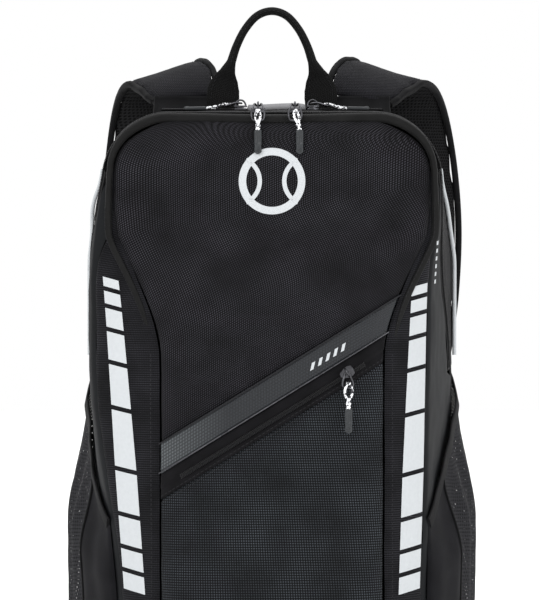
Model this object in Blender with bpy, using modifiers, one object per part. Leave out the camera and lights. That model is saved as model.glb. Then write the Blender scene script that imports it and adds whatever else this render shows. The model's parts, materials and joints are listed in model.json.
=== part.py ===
"""Racket backpack: a sewn body of separate panels with a main, a front and a racket
compartment, side pockets, a webbing haul handle, two padded shoulder straps and five zips.

Metres, +Z up, the front faces -Y. The origin is the middle of the base on the floor."""

import math

import bmesh
import bpy
from mathutils import Matrix, Vector

# ---------------------------------------------------------------- driving dimensions
FLOOR_GAP = 0.009          # the walls start above the base panel
BASE_THICKNESS = 0.008
FABRIC = 0.0025            # padded fabric walls
SEAM = 0.0013              # half of the open seam between two walls

Y_EDGE = -0.062            # front edge contour, where the side walls begin
Y_REAR = 0.045             # rear contour of the main compartment, at the divider
Y_BACK = 0.088             # rear contour of the racket compartment

CORNER_Z = 0.436           # where the rounded top corners run into the sides
MAIN_ZIP_END_Z = 0.270
ZIP_HALF_TRAVEL = 0.082    # the straight part of the top zips, from the middle

FRONT_HALF_LOW = 0.0900    # half width of the front panel, below its waist
FRONT_HALF_TOP = 0.1260
WAIST_Z = (0.285, 0.410)   # the front panel widens between these heights
FRONT_EDGE_Y = (-0.090, -0.067)
FRONT_BULGE = 0.009

DIAGONAL_SLOPE = 0.61      # rise of the band and the pocket zip per unit of X
BAND_TOP_Z = 0.2735        # heights on the middle line
BAND_LOW_Z = 0.2490
POCKET_TOP_Z = 0.2290

# One contour: half width of the top, middle and base, height of the top, corner radius.
EDGE_CONTOUR = (0.1275, 0.1260, 0.1200, 0.4805, 0.0445)
REAR_CONTOUR = (0.1395, 0.1510, 0.1500, 0.4900, 0.0540)
BACK_CONTOUR = (0.1350, 0.1470, 0.1470, 0.4930, 0.0570)
TOP_STEPS, CORNER_STEPS, SIDE_STEPS = 3, 5, 7

STRAP_WIDTH, STRAP_THICKNESS = 0.064, 0.013
WEBBING_WIDTH, WEBBING_THICKNESS = 0.025, 0.0018

COLOURS = {
    "weave": ((0.030, 0.030, 0.034), 0.8, 0.0),
    "ribbed": ((0.026, 0.026, 0.030), 0.75, 0.0),
    "coated": ((0.045, 0.048, 0.050), 0.55, 0.0),
    "plain_black": ((0.018, 0.018, 0.018), 0.8, 0.0),
    "gloss_band": ((0.080, 0.090, 0.095), 0.25, 0.0),
    "mesh": ((0.015, 0.015, 0.016), 0.9, 0.0),
    "webbing": ((0.014, 0.014, 0.014), 0.75, 0.0),
    "white": ((0.800, 0.810, 0.820), 0.5, 0.0),
    "zip_metal": ((0.100, 0.100, 0.110), 0.35, 0.9),
    "cord": ((0.620, 0.630, 0.650), 0.7, 0.0),
    "tab": ((0.060, 0.070, 0.075), 0.4, 0.0),
    "plastic": ((0.020, 0.020, 0.020), 0.45, 0.0),
}


# ---------------------------------------------------------------- scene and materials
def clear_scene():
    for obj in list(bpy.data.objects):
        bpy.data.objects.remove(obj)
    part = bpy.data.collections.new("racket_backpack")
    cutters = bpy.data.collections.new("cutters")
    for collection in (part, cutters):
        bpy.context.scene.collection.children.link(collection)
    return part, cutters


PART, CUTTERS = clear_scene()


def material(name):
    found = bpy.data.materials.get(name)
    if found:
        return found
    colour, roughness, metallic = COLOURS[name]
    made = bpy.data.materials.new(name)
    made.use_nodes = True
    shader = made.node_tree.nodes["Principled BSDF"]
    shader.inputs["Base Color"].default_value = (*colour, 1.0)
    shader.inputs["Roughness"].default_value = roughness
    shader.inputs["Metallic"].default_value = metallic
    return made


# ---------------------------------------------------------------- modelling tools
def add_object(name, data, finish, collection=None):
    obj = bpy.data.objects.new(name, data)
    (collection or PART).objects.link(obj)
    data.materials.append(material(finish))
    return obj


def mesh_object(name, bm, finish, collection=None):
    mesh = bpy.data.meshes.new(name)
    bm.to_mesh(mesh)
    bm.free()
    mesh.shade_smooth()
    mesh.set_sharp_from_angle(angle=math.radians(35))
    return add_object(name, mesh, finish, collection)


def sheet(name, rows, outward, finish, thickness=FABRIC):
    """An open sheet through rows of points, thickened away from outward with Solidify."""
    bm = bmesh.new()
    grid = [[bm.verts.new(p) for p in row] for row in rows]
    for low, high in zip(grid, grid[1:]):
        for a, b, c, d in zip(low, low[1:], high[1:], high):
            bm.faces.new((a, b, c, d))
    bm.normal_update()
    if sum(f.normal.dot(Vector(outward)) for f in bm.faces) < 0:
        bmesh.ops.reverse_faces(bm, faces=bm.faces)
    obj = mesh_object(name, bm, finish)
    solidify = obj.modifiers.new("thickness", "SOLIDIFY")
    solidify.thickness = thickness
    solidify.offset = -1
    return obj


def loft(name, rings, finish):
    """A closed body through rings of points, with flat ends."""
    bm = bmesh.new()
    made = [[bm.verts.new(p) for p in ring] for ring in rings]
    for low, high in zip(made, made[1:]):
        for i, a in enumerate(low):
            j = (i + 1) % len(low)
            bm.faces.new((a, low[j], high[j], high[i]))
    bm.faces.new(made[0][::-1])
    bm.faces.new(made[-1])
    bmesh.ops.recalc_face_normals(bm, faces=bm.faces)
    return mesh_object(name, bm, finish)


def ribbon(name, centres, across, thick, widths, thicknesses, finish, roundness=4):
    """A loft along centres. across and thick give the section's axes at each centre."""
    rings = []
    for centre, side, up, width, depth in zip(centres, across, thick, widths, thicknesses):
        ring = []
        for k in range(10):
            angle = 2 * math.pi * (k + 0.5) / 10
            c, s = math.cos(angle), math.sin(angle)
            u = math.copysign(abs(c) ** (2 / roundness), c) * width / 2
            v = math.copysign(abs(s) ** (2 / roundness), s) * depth / 2
            ring.append(centre + side * u + up * v)
        rings.append(ring)
    return loft(name, rings, finish)


def tube(name, points, radius, finish, cyclic=False, resolution=1):
    curve = bpy.data.curves.new(name, "CURVE")
    curve.dimensions = "3D"
    spline = curve.splines.new("POLY")
    spline.points.add(len(points) - 1)
    for point, co in zip(spline.points, points):
        point.co = (*co, 1.0)
    spline.use_cyclic_u = cyclic
    curve.bevel_depth = radius
    curve.bevel_resolution = resolution
    curve.use_fill_caps = not cyclic
    return add_object(name, curve, finish)


def plate(name, outlines, thickness, matrix, finish, bevel=0.0):
    """A flat outline in local XY, with any holes, extruded along local Z about its middle."""
    curve = bpy.data.curves.new(name, "CURVE")
    curve.dimensions = "2D"
    curve.fill_mode = "BOTH"
    curve.extrude = thickness / 2 - bevel
    curve.bevel_depth = bevel
    curve.bevel_resolution = 0
    curve.offset = -bevel
    for outline in outlines:
        spline = curve.splines.new("POLY")
        spline.points.add(len(outline) - 1)
        for point, (x, y) in zip(spline.points, outline):
            point.co = (x, y, 0.0, 1.0)
        spline.use_cyclic_u = True
    obj = add_object(name, curve, finish)
    obj.matrix_world = matrix
    return obj


def box(name, size, matrix, finish, bevel=0.0, collection=None):
    bm = bmesh.new()
    bmesh.ops.create_cube(bm, size=1.0)
    bmesh.ops.scale(bm, vec=size, verts=bm.verts)
    if bevel:
        bmesh.ops.bevel(bm, geom=bm.edges[:], offset=bevel, segments=1, affect="EDGES")
    obj = mesh_object(name, bm, finish, collection)
    obj.matrix_world = matrix
    return obj


def hang_on(name, pivot, names):
    """An empty at the pivot that carries the named objects, which stay where they are."""
    empty = bpy.data.objects.new(name, None)
    empty.empty_display_size = 0.01
    empty.location = pivot
    PART.objects.link(empty)
    for child in names:
        obj = bpy.data.objects[child]
        obj.parent = empty
        obj.matrix_parent_inverse = Matrix.Translation(-Vector(pivot))


def boolean(obj, cutter, operation="DIFFERENCE"):
    cutter.hide_render = True
    cutter.display_type = "WIRE"
    modifier = obj.modifiers.new(cutter.name, "BOOLEAN")
    modifier.operation = operation
    modifier.object = cutter


# ---------------------------------------------------------------- the body's surfaces
def smooth(low, high, value):
    t = min(1.0, max(0.0, (value - low) / (high - low)))
    return t * t * (3 - 2 * t)


def lerp(a, b, t):
    return a + (b - a) * t


def half_width(contour, z):
    """Half width of a contour at height z, on its side below the corner."""
    top, middle, low, _, _ = contour
    if z >= CORNER_Z:
        return top
    if z >= 0.36:
        return lerp(middle, top, smooth(0.36, CORNER_Z, z))
    return lerp(low, middle, smooth(0.0, 0.36, z))


def contour_points(contour, low_z=FLOOR_GAP):
    """(x, z) from the middle of the top, round the right corner and down the side."""
    top, _, _, height, radius = contour
    straight = [(lerp(0, top - radius, i / TOP_STEPS), height) for i in range(TOP_STEPS)]
    corner = []
    for i in range(CORNER_STEPS + 1):
        angle = math.pi / 2 * (1 - i / CORNER_STEPS)
        corner.append((top - radius + radius * math.cos(angle),
                       height - radius + radius * math.sin(angle)))
    side = []
    for i in range(1, SIDE_STEPS + 1):
        z = lerp(height - radius, low_z, i / SIDE_STEPS)
        side.append((half_width(contour, z), z))
    return straight + corner + side


CORNER_END = TOP_STEPS + CORNER_STEPS      # index of the last corner point


def between(front, front_y, rear, rear_y, share):
    """Points at a share of the way from one contour to the other."""
    a, b = contour_points(front), contour_points(rear)
    return [Vector((lerp(p[0], q[0], share), lerp(front_y, rear_y, share), lerp(p[1], q[1], share)))
            for p, q in zip(a, b)]


def mirrored(points, side):
    return [Vector((p.x * side, p.y, p.z)) for p in points]


def side_at(contour, y, z, side, x_offset=0.0):
    return Vector(((half_width(contour, z) + x_offset) * side, y, z))


def body_side_x(y, z):
    """Half width of the body's outside at depth y and height z."""
    edge, rear = half_width(EDGE_CONTOUR, z), half_width(REAR_CONTOUR, z)
    if y <= Y_REAR:
        return lerp(edge, rear, (y - Y_EDGE) / (Y_REAR - Y_EDGE))
    return lerp(rear, half_width(BACK_CONTOUR, z), (y - Y_REAR) / (Y_BACK - Y_REAR))


def front_half(z):
    """Half width of the front panel: a waist low down, the rounded contour at the top."""
    waist = lerp(FRONT_HALF_LOW, FRONT_HALF_TOP, smooth(*WAIST_Z, z))
    top, _, _, height, radius = EDGE_CONTOUR
    inset = 0.0045
    if z > height - radius:
        rise = z - (height - radius)
        reach = math.sqrt(max(0.0, (radius - inset) ** 2 - rise ** 2))
        return min(waist, top - radius + reach)
    return min(waist, half_width(EDGE_CONTOUR, z) - inset)


FRONT_TOP_Z = EDGE_CONTOUR[3] - 0.0045


def front_edge_y(z):
    return lerp(*FRONT_EDGE_Y, smooth(*WAIST_Z, z))


def front_y(share, z):
    """Depth of the front surface, share 0 on the middle line and 1 at the side seam."""
    rise = min(1.0, max(0.0, (FRONT_TOP_Z - z) / 0.055))
    low_belly = 0.004 * smooth(0.19, 0.09, z) if z < 0.19 else 0.0
    bulge = (FRONT_BULGE + low_belly) * (1 - abs(share) ** 6)
    return front_edge_y(z) - bulge * math.sqrt(rise * (2 - rise))


def diagonal_z(middle_z, share):
    """Height of a diagonal line at a share of the half width."""
    z = middle_z
    for _ in range(12):
        z = middle_z + DIAGONAL_SLOPE * share * front_half(z)
    return z


def front_rows(low_z, high_z, shares, levels, proud=0.0, inset=SEAM):
    """Rows of points on the front. low_z and high_z give the height for each share."""
    rows = []
    for level in levels:
        row = []
        for share in shares:
            z = lerp(low_z(share), high_z(share), level)
            half = front_half(z) - inset
            row.append(Vector((share * half, front_y(share, z) - proud, z)))
        rows.append(row)
    return rows


SHARES = [-1, -0.93, -0.8, -0.55, -0.28, 0, 0.28, 0.55, 0.8, 0.93, 1]


# ---------------------------------------------------------------- the sewn body
def build_front():
    levels = [0, 0.11, 0.22, 0.31, 0.4, 0.5, 0.6, 0.7, 0.8, 0.88, 0.94, 0.975, 1]
    sheet("front_panel",
          front_rows(lambda s: diagonal_z(BAND_TOP_Z, s) + 0.0004, lambda s: FRONT_TOP_Z, SHARES, levels),
          (0, -1, 0), "weave")
    sheet("diagonal_band",
          front_rows(lambda s: diagonal_z(BAND_LOW_Z, s) + 0.0004,
                     lambda s: diagonal_z(BAND_TOP_Z, s) - 0.0004, SHARES, [0, 1], proud=0.0008),
          (0, -1, 0), "gloss_band", 0.0016)
    sheet("pocket_zip_tape",
          front_rows(lambda s: diagonal_z(POCKET_TOP_Z, s) + 0.0004,
                     lambda s: diagonal_z(BAND_LOW_Z, s) - 0.0004, SHARES, [0, 1]),
          (0, -1, 0), "plain_black", 0.0014)
    sheet("pocket_panel",
          front_rows(lambda s: FLOOR_GAP, lambda s: diagonal_z(POCKET_TOP_Z, s) - 0.0004,
                     SHARES, [0, 0.06, 0.16, 0.35, 0.6, 0.8, 1]),
          (0, -1, 0), "weave")
    wall = Matrix.Translation((0, -0.0805, 0.155)) @ Matrix.Rotation(math.pi / 2, 4, "X")
    box("pocket_back_wall", (0.168, 0.288, 0.0015), wall, "plain_black")


def build_facets():
    """The slanted panels between the front panel and the side walls."""
    top = 0.386
    for side, name in ((-1, "facet_left"), (1, "facet_right")):
        rows = []
        for i in range(17):
            z = lerp(FLOOR_GAP, top, i / 16)
            inner = Vector(((front_half(z) + SEAM + 0.0003) * side, front_edge_y(z) + 0.0006, z))
            outer = side_at(EDGE_CONTOUR, Y_EDGE - 0.0009, z, side, -0.0010)
            rows.append([inner.lerp(outer, t) for t in (0, 0.33, 0.67, 1)])
        sheet(name, rows, (side, -1, 0), "ribbed", 0.0016)


TOP_ZIP_SHARE = 0.044      # where the main zip runs across the top


def zip_share(z):
    """Where the main zip runs between the edge contour and the rear contour."""
    return lerp(0.84, TOP_ZIP_SHARE, smooth(MAIN_ZIP_END_Z, CORNER_Z + 0.01, z))


def wall_point(front, front_y_, rear, rear_y, share, z, side):
    x = lerp(half_width(front, z), half_width(rear, z), share)
    return Vector((x * side, lerp(front_y_, rear_y, share), z))


ZIP_ALLOWANCE = 0.030      # share of the wall that the zip's half width takes
SIDE_LEVELS = [0, 0.2, 0.4, 0.55, 0.6, 0.615, 0.65, 0.69, 0.74, 0.8, 0.86, 0.91, 0.96, 1]


def build_side_walls():
    for side, end in ((-1, "left"), (1, "right")):
        rows = []
        for level in SIDE_LEVELS:
            z = lerp(FLOOR_GAP, CORNER_Z - 0.004, level)
            rear_share = 0.975 if z < MAIN_ZIP_END_Z - 0.005 else zip_share(z) - ZIP_ALLOWANCE
            rows.append([wall_point(EDGE_CONTOUR, Y_EDGE, REAR_CONTOUR, Y_REAR, t, z, side)
                         for t in (0.012, lerp(0.012, rear_share, 0.5), rear_share)])
        sheet("side_panel_" + end, rows, (side, 0, 0), "coated")
        rows = []
        for i in range(9):
            z = lerp(MAIN_ZIP_END_Z + 0.0055, CORNER_Z - 0.004, i / 8)
            front_share = zip_share(z) + ZIP_ALLOWANCE
            rows.append([wall_point(EDGE_CONTOUR, Y_EDGE, REAR_CONTOUR, Y_REAR, t, z, side)
                         for t in (front_share, 0.978)])
        sheet("rear_gusset_" + end, rows, (side, 0, 0), "plain_black")
        rows = []
        for i in range(8):
            z = lerp(FLOOR_GAP, CORNER_Z - 0.004, i / 7)
            rows.append([wall_point(REAR_CONTOUR, Y_REAR, BACK_CONTOUR, Y_BACK, t, z, side)
                         for t in (0.03, 0.5, 0.97)])
        sheet("racket_gusset_" + end, rows, (side, 0, 0), "plain_black")


def arch(front, front_y_, rear, rear_y, share, lift=0.0):
    """A line over the top, from the left corner's end to the right one's."""
    points = between(front, front_y_, rear, rear_y, share)[:CORNER_END + 1]
    if lift:
        points = [p + lift * outward_of(p) for p in points]
    return mirrored(points, -1)[::-1] + points[1:]


def outward_of(p):
    """Direction out of the body in the XZ plane, near the top corners."""
    centre = Vector((EDGE_CONTOUR[0] - EDGE_CONTOUR[4], 0, CORNER_Z))
    rel = Vector((max(0.0, abs(p.x) - centre.x), 0, max(0.0, p.z - centre.z)))
    if rel.length < 1e-6:
        rel = Vector((1, 0, 0))
    rel.normalize()
    return Vector((math.copysign(rel.x, p.x), 0, rel.z))


RACKET_ZIP_SHARE = 0.42
SLOT_HALF = 0.0235
SLOT_X = 0.0040


def build_top():
    rows = [arch(EDGE_CONTOUR, Y_EDGE, REAR_CONTOUR, Y_REAR, t)
            for t in (TOP_ZIP_SHARE + ZIP_ALLOWANCE, 0.55, 0.978)]
    sheet("top_gusset", rows, (0, 0, 1), "plain_black")
    rows = [arch(REAR_CONTOUR, Y_REAR, BACK_CONTOUR, Y_BACK, t) for t in (0.03, 0.5, 0.97)]
    racket_top = sheet("racket_gusset_top", rows, (0, 0, 1), "plain_black")
    slot_y = lerp(Y_REAR, Y_BACK, RACKET_ZIP_SHARE)
    bm = bmesh.new()
    bmesh.ops.create_cone(bm, segments=16, radius1=1, radius2=1, depth=0.04, cap_ends=True)
    bmesh.ops.scale(bm, vec=(SLOT_HALF, 0.0125, 1), verts=bm.verts)
    bmesh.ops.translate(bm, vec=(SLOT_X, slot_y, 0.49), verts=bm.verts)
    boolean(racket_top, mesh_object("slot_cutter", bm, "plain_black", CUTTERS))


def outline_of(contour, inset, low_z):
    """A closed XZ outline a little inside a contour."""
    top, middle, low, height, radius = contour
    shrunk = (top - inset, middle - inset, low - inset, height - inset, radius - inset)
    right = contour_points(shrunk, low_z)
    return [(-x, z) for x, z in right[::-1]] + right[1:]


def build_plates():
    upright = Matrix.Rotation(math.pi / 2, 4, "X")
    plate("divider", [outline_of(REAR_CONTOUR, 0.0045, FLOOR_GAP)], 0.0012,
          Matrix.Translation((0, Y_REAR, 0)) @ upright, "plain_black")
    plate("back_panel", [outline_of(BACK_CONTOUR, 0.0005, FLOOR_GAP)], 0.0080,
          Matrix.Translation((0, Y_BACK + 0.0045, 0)) @ upright, "plain_black", 0.0012)
    for side, end in ((-1, "left"), (1, "right")):
        pad_outline = rounded_rectangle(0.094, 0.330, 0.022)
        place = Matrix.Translation((0.063 * side, Y_BACK + 0.0085 + 0.0048, 0.235)) @ upright
        plate("back_pad_" + end, [pad_outline], 0.0088, place, "mesh", 0.0024)
    half = [(0, -0.0985), (0.0885, -0.0955), (0.1165, -0.0625), (0.1480, Y_REAR),
            (0.1450, Y_BACK), (0.135, 0.0955)]
    outline = half + [(-x, y) for x, y in half[:0:-1]]
    plate("base_panel", [outline], BASE_THICKNESS,
          Matrix.Translation((0, 0, BASE_THICKNESS / 2)), "plain_black", 0.0012)


def rounded_rectangle(width, height, radius, steps=4):
    points = []
    for cx, cy, start in ((1, 1, 0), (-1, 1, 1), (-1, -1, 2), (1, -1, 3)):
        for i in range(steps + 1):
            angle = math.pi / 2 * (start + i / steps)
            points.append((cx * (width / 2 - radius) + radius * math.cos(angle),
                           cy * (height / 2 - radius) + radius * math.sin(angle)))
    return points


def build_piping():
    top, middle, low, height, radius = EDGE_CONTOUR
    points = [Vector((p.x, Y_EDGE - 0.0066, p.z))
              for p in arch(EDGE_CONTOUR, Y_EDGE, EDGE_CONTOUR, Y_EDGE, 0)]
    tube("front_piping", points, 0.0036, "plain_black")
    for side, end in ((-1, "left"), (1, "right")):
        points = []
        for i in range(9):
            z = lerp(0.288, CORNER_Z + 0.004, i / 8)
            points.append(side_at(REAR_CONTOUR, Y_REAR, z, side, 0.0021))
        tube("white_piping_" + end, points, 0.0016, "white")


# ---------------------------------------------------------------- side pockets
POCKET_FRONT_Y, POCKET_REAR_Y = -0.056, 0.076
POCKET_BULGE = 0.0215
POCKET_RIM = (0.155, 0.276)
POCKET_SKIN = 0.0015


def pocket_rim_z(u):
    return lerp(*POCKET_RIM, u)


def build_side_pockets():
    columns = [0, 0.07, 0.16, 0.3, 0.45, 0.6, 0.75, 0.88, 0.96, 1]
    levels = [0, 0.001, 0.04, 0.12, 0.3, 0.55, 0.8, 1]
    swell = [0.10, 0.62, 0.86, 0.95, 1, 1, 0.93, 0.86]
    for side, end in ((-1, "left"), (1, "right")):
        rows = []
        for level, share in zip(levels, swell):
            row = []
            for u in columns:
                y = lerp(POCKET_FRONT_Y, POCKET_REAR_Y, u)
                z = lerp(FLOOR_GAP + 0.002, pocket_rim_z(u), level)
                out = POCKET_SKIN + 0.0007 + POCKET_BULGE * share * math.sin(math.pi * u) ** 0.55
                row.append(Vector(((body_side_x(y, z) + out) * side, y, z)))
            rows.append(row)
        sheet("side_pocket_" + end, rows, (side, 0, 0), "mesh", POCKET_SKIN)


# ---------------------------------------------------------------- zips
def zip_section(centre, along, out, width=0.0044, height=0.0016, finish="plain_black"):
    across = along.cross(out).normalized()
    return [centre + across * (width / 2 * a) + out * (height * b)
            for a, b in ((-1, 0), (1, 0), (1, 0.7), (0.6, 1), (-0.6, 1), (-1, 0.7))]


def zip_chain(name, points, outs):
    rings = []
    for i, (point, out) in enumerate(zip(points, outs)):
        ahead = points[min(i + 1, len(points) - 1)]
        behind = points[max(i - 1, 0)]
        rings.append(zip_section(point, (ahead - behind).normalized(), out))
    return loft(name, rings, "plastic")


CHAIN_LIFT = 0.0004


def main_zip_line():
    """The main zip's route: over the top and down both sides, half of it from the middle."""
    points = [p + CHAIN_LIFT * outward_of(p)
              for p in between(EDGE_CONTOUR, Y_EDGE, REAR_CONTOUR, Y_REAR, TOP_ZIP_SHARE)[:CORNER_END + 1]]
    outs = [outward_of(p) if p.x > 0.083 else Vector((0, 0, 1)) for p in points]
    for i in range(1, 15):
        z = lerp(CORNER_Z, MAIN_ZIP_END_Z + 0.004, i / 14)
        point = wall_point(EDGE_CONTOUR, Y_EDGE, REAR_CONTOUR, Y_REAR, zip_share(z), z, 1)
        points.append(point + Vector((CHAIN_LIFT, 0, 0)))
        outs.append(Vector((0.97, -0.24, 0)).normalized())
    return points, outs


TOP_ZIP_Y = lerp(Y_EDGE, Y_REAR, TOP_ZIP_SHARE)
TOP_ZIP_Z = lerp(EDGE_CONTOUR[3], REAR_CONTOUR[3], TOP_ZIP_SHARE) + CHAIN_LIFT
RACKET_ZIP_Y = lerp(Y_REAR, Y_BACK, RACKET_ZIP_SHARE)
RACKET_ZIP_Z = lerp(REAR_CONTOUR[3], BACK_CONTOUR[3], RACKET_ZIP_SHARE) + CHAIN_LIFT
POCKET_ZIP_MIDDLE_Z = (BAND_LOW_Z + POCKET_TOP_Z) / 2
POCKET_ZIP_DIRECTION = Vector((1, 0, DIAGONAL_SLOPE)).normalized()
POCKET_ZIP_Y = front_y(0, POCKET_ZIP_MIDDLE_Z) - CHAIN_LIFT


def pocket_zip_point(x):
    return Vector((x, POCKET_ZIP_Y, POCKET_ZIP_MIDDLE_Z + DIAGONAL_SLOPE * x))


def build_zip_chains():
    points, outs = main_zip_line()
    left = mirrored(points, -1)[::-1]
    left_outs = mirrored(outs, -1)[::-1]
    zip_chain("main_zip_chain", left[:-1] + points, left_outs[:-1] + outs)
    for side, end in ((-1, "left"), (1, "right")):
        ends = (SLOT_X + side * (SLOT_HALF + 0.001), side * (ZIP_HALF_TRAVEL + 0.012))
        line = [Vector((x, RACKET_ZIP_Y, RACKET_ZIP_Z)) for x in ends]
        zip_chain("racket_zip_chain_" + end, line, [Vector((0, 0, 1))] * 2)
    line = [pocket_zip_point(x) for x in (-0.072, 0.074)]
    zip_chain("pocket_zip_chain", line, [Vector((0, -1, 0))] * 2)


SLIDER_LENGTH, SLIDER_WIDTH, SLIDER_HEIGHT = 0.0105, 0.0080, 0.0026
BRIDGE_HEIGHT = 0.0056
SLIDER_LIFT = 0.0020       # the slider's underside above the chain's foot
BAIL_WIRE, BAIL_WIDTH = 0.0007, 0.0080
SHORT_BAIL, LONG_BAIL = 0.0130, 0.0195
CORD_RADIUS, CORD_WIDTH = 0.0009, 0.0050
SHORT_CORD, LONG_CORD = 0.0165, 0.0215
TAB_SIZE = (0.0056, 0.0030, 0.0200)


def frame_matrix(origin, x_axis, y_axis, z_axis):
    matrix = Matrix((x_axis, y_axis, z_axis)).transposed().to_4x4()
    return Matrix.Translation(origin) @ matrix


def build_slider(name, foot, along, out, bridge_across=False):
    """A slider on its chain. Its bridge stands over the plate, and the bail turns in it."""
    across = out.cross(along)
    place = frame_matrix(foot + out * (SLIDER_LIFT + SLIDER_HEIGHT / 2), along, across, out)
    slider = box(name, (SLIDER_LENGTH, SLIDER_WIDTH, SLIDER_HEIGHT), place, "zip_metal", 0.0007)
    foot_height = SLIDER_HEIGHT / 2 - 0.0006
    span = 0.0033 if bridge_across else 0.0044
    corners = ((-0.0005, -0.0006), (0.0005, -0.0006), (0.0005, 0.0006), (-0.0005, 0.0006))
    rings = []
    for i in range(7):
        angle = math.pi * i / 6
        rel = Vector((-math.cos(angle) * span, 0, math.sin(angle) * BRIDGE_HEIGHT))
        centre = rel + Vector((0, 0, foot_height))
        rings.append([centre + rel.normalized() * a + Vector((0, b, 0)) for a, b in corners])
    if bridge_across:
        rings = [[Vector((-p.y, p.x, p.z)) for p in ring] for ring in rings]
    bridge = loft(name + "_bridge", rings, "zip_metal")
    bridge.matrix_world = place
    PART.objects.unlink(bridge)
    CUTTERS.objects.link(bridge)
    boolean(slider, bridge, "UNION")
    return foot + out * (SLIDER_LIFT + SLIDER_HEIGHT + BRIDGE_HEIGHT - 0.0035)


def ellipse(centre, u_axis, v_axis, u, v, steps):
    return [centre + u_axis * (u * math.cos(2 * math.pi * i / steps))
            + v_axis * (v * math.sin(2 * math.pi * i / steps)) for i in range(steps)]


def build_pull(prefix, pivot, hinge_axis, bail_direction, hang, bail_length, cord_length):
    """Bail ring, cord loop and grip tab. The bail turns about hinge_axis at pivot."""
    bail_centre = pivot + bail_direction * (bail_length / 2 - 0.0010)
    tube(prefix + "_bail",
         ellipse(bail_centre, hinge_axis, bail_direction, BAIL_WIDTH / 2, bail_length / 2, 12),
         BAIL_WIRE, "zip_metal", cyclic=True)
    bail_end = bail_centre + bail_direction * (bail_length / 2)
    normal = hinge_axis.cross(hang).normalized()
    low_point = bail_end + hinge_axis * (0.0026 * hinge_axis.dot(hang))
    cord_centre = low_point + hang * (cord_length / 2 - 0.0032)
    tube(prefix + "_cord", ellipse(cord_centre, normal, hang, CORD_WIDTH / 2, cord_length / 2, 12),
         CORD_RADIUS, "cord", cyclic=True)
    tab_centre = cord_centre + hang * (cord_length / 2 + CORD_RADIUS + 0.0003 + TAB_SIZE[2] / 2)
    place = frame_matrix(tab_centre, normal.cross(-hang), normal, -hang)
    box(prefix + "_tab", TAB_SIZE, place, "tab", 0.0008)
    hang_on(prefix + "_hinge", pivot, [prefix + end for end in ("_bail", "_cord", "_tab")])


DOWN, UP, FORWARD = Vector((0, 0, -1)), Vector((0, 0, 1)), Vector((0, -1, 0))
MAIN_SLIDER_X = (-0.0112, 0.0184)
RACKET_SLIDER_X = (-0.0265, 0.0345)
POCKET_SLIDER_X = 0.0590


def build_sliders():
    for side, end, main_x, racket_x in zip((-1, 1), ("left", "right"), MAIN_SLIDER_X, RACKET_SLIDER_X):
        foot = Vector((main_x, TOP_ZIP_Y, TOP_ZIP_Z))
        pivot = build_slider("main_slider_" + end, foot, Vector((1, 0, 0)), UP, bridge_across=True)
        over = Vector((0, -1, -0.24)).normalized()
        hang = Vector((0, -0.15, -1)).normalized()
        build_pull("main_pull_" + end, pivot, Vector((1, 0, 0)), over, hang, LONG_BAIL, SHORT_CORD)

        foot = Vector((racket_x, RACKET_ZIP_Y, RACKET_ZIP_Z))
        pivot = build_slider("racket_slider_" + end, foot, Vector((1, 0, 0)), UP)
        flat = Vector((side, 0, 0))
        build_pull("racket_pull_" + end, pivot, Vector((0, 1, 0)), flat, flat, SHORT_BAIL, LONG_CORD)

    foot = pocket_zip_point(POCKET_SLIDER_X)
    pivot = build_slider("pocket_slider", foot, POCKET_ZIP_DIRECTION, FORWARD, bridge_across=True)
    away = (POCKET_ZIP_DIRECTION.cross(FORWARD) + FORWARD * 0.25).normalized()
    build_pull("pocket_pull", pivot, POCKET_ZIP_DIRECTION, away, DOWN, SHORT_BAIL, LONG_CORD)


# ---------------------------------------------------------------- handle and straps
HANDLE_Y = Y_BACK - 0.003
HANDLE_LEG_X = 0.0415
HANDLE_FOOT_Z = 0.4960
HANDLE_TOP_Z = 0.5800


def build_handle():
    """One length of webbing: flat leaf-shaped feet, folded into a round grip between them."""
    half = [(-HANDLE_LEG_X, HANDLE_FOOT_Z, 0.0240), (-HANDLE_LEG_X, 0.508, 0.0262),
            (-0.0400, 0.518, 0.0235), (-0.0372, 0.527, 0.0150), (-0.0345, 0.5355, 0.0075),
            (-0.0300, 0.549, 0.0070), (-0.0228, 0.563, 0.0070), (-0.0125, 0.5745, 0.0070),
            (0, 0.5785, 0.0070)]
    line = half + [(-x, z, w) for x, z, w in half[-2::-1]]
    centres = [Vector((x, HANDLE_Y, z)) for x, z, _ in line]
    across, thick, widths, depths = [], [], [], []
    for i, (_, _, width) in enumerate(line):
        along = (centres[min(i + 1, len(line) - 1)] - centres[max(i - 1, 0)]).normalized()
        thick.append(Vector((0, 1, 0)))
        across.append(along.cross(Vector((0, 1, 0))).normalized())
        widths.append(width)
        depths.append(lerp(0.0110, 0.0028, smooth(0.0075, 0.0240, width)))
    ribbon("haul_handle", centres, across, thick, widths, depths, "webbing", 2.6)
    hang_on("haul_handle_hinge", Vector((0, HANDLE_Y, HANDLE_FOOT_Z - 0.002)), ["haul_handle"])


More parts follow.
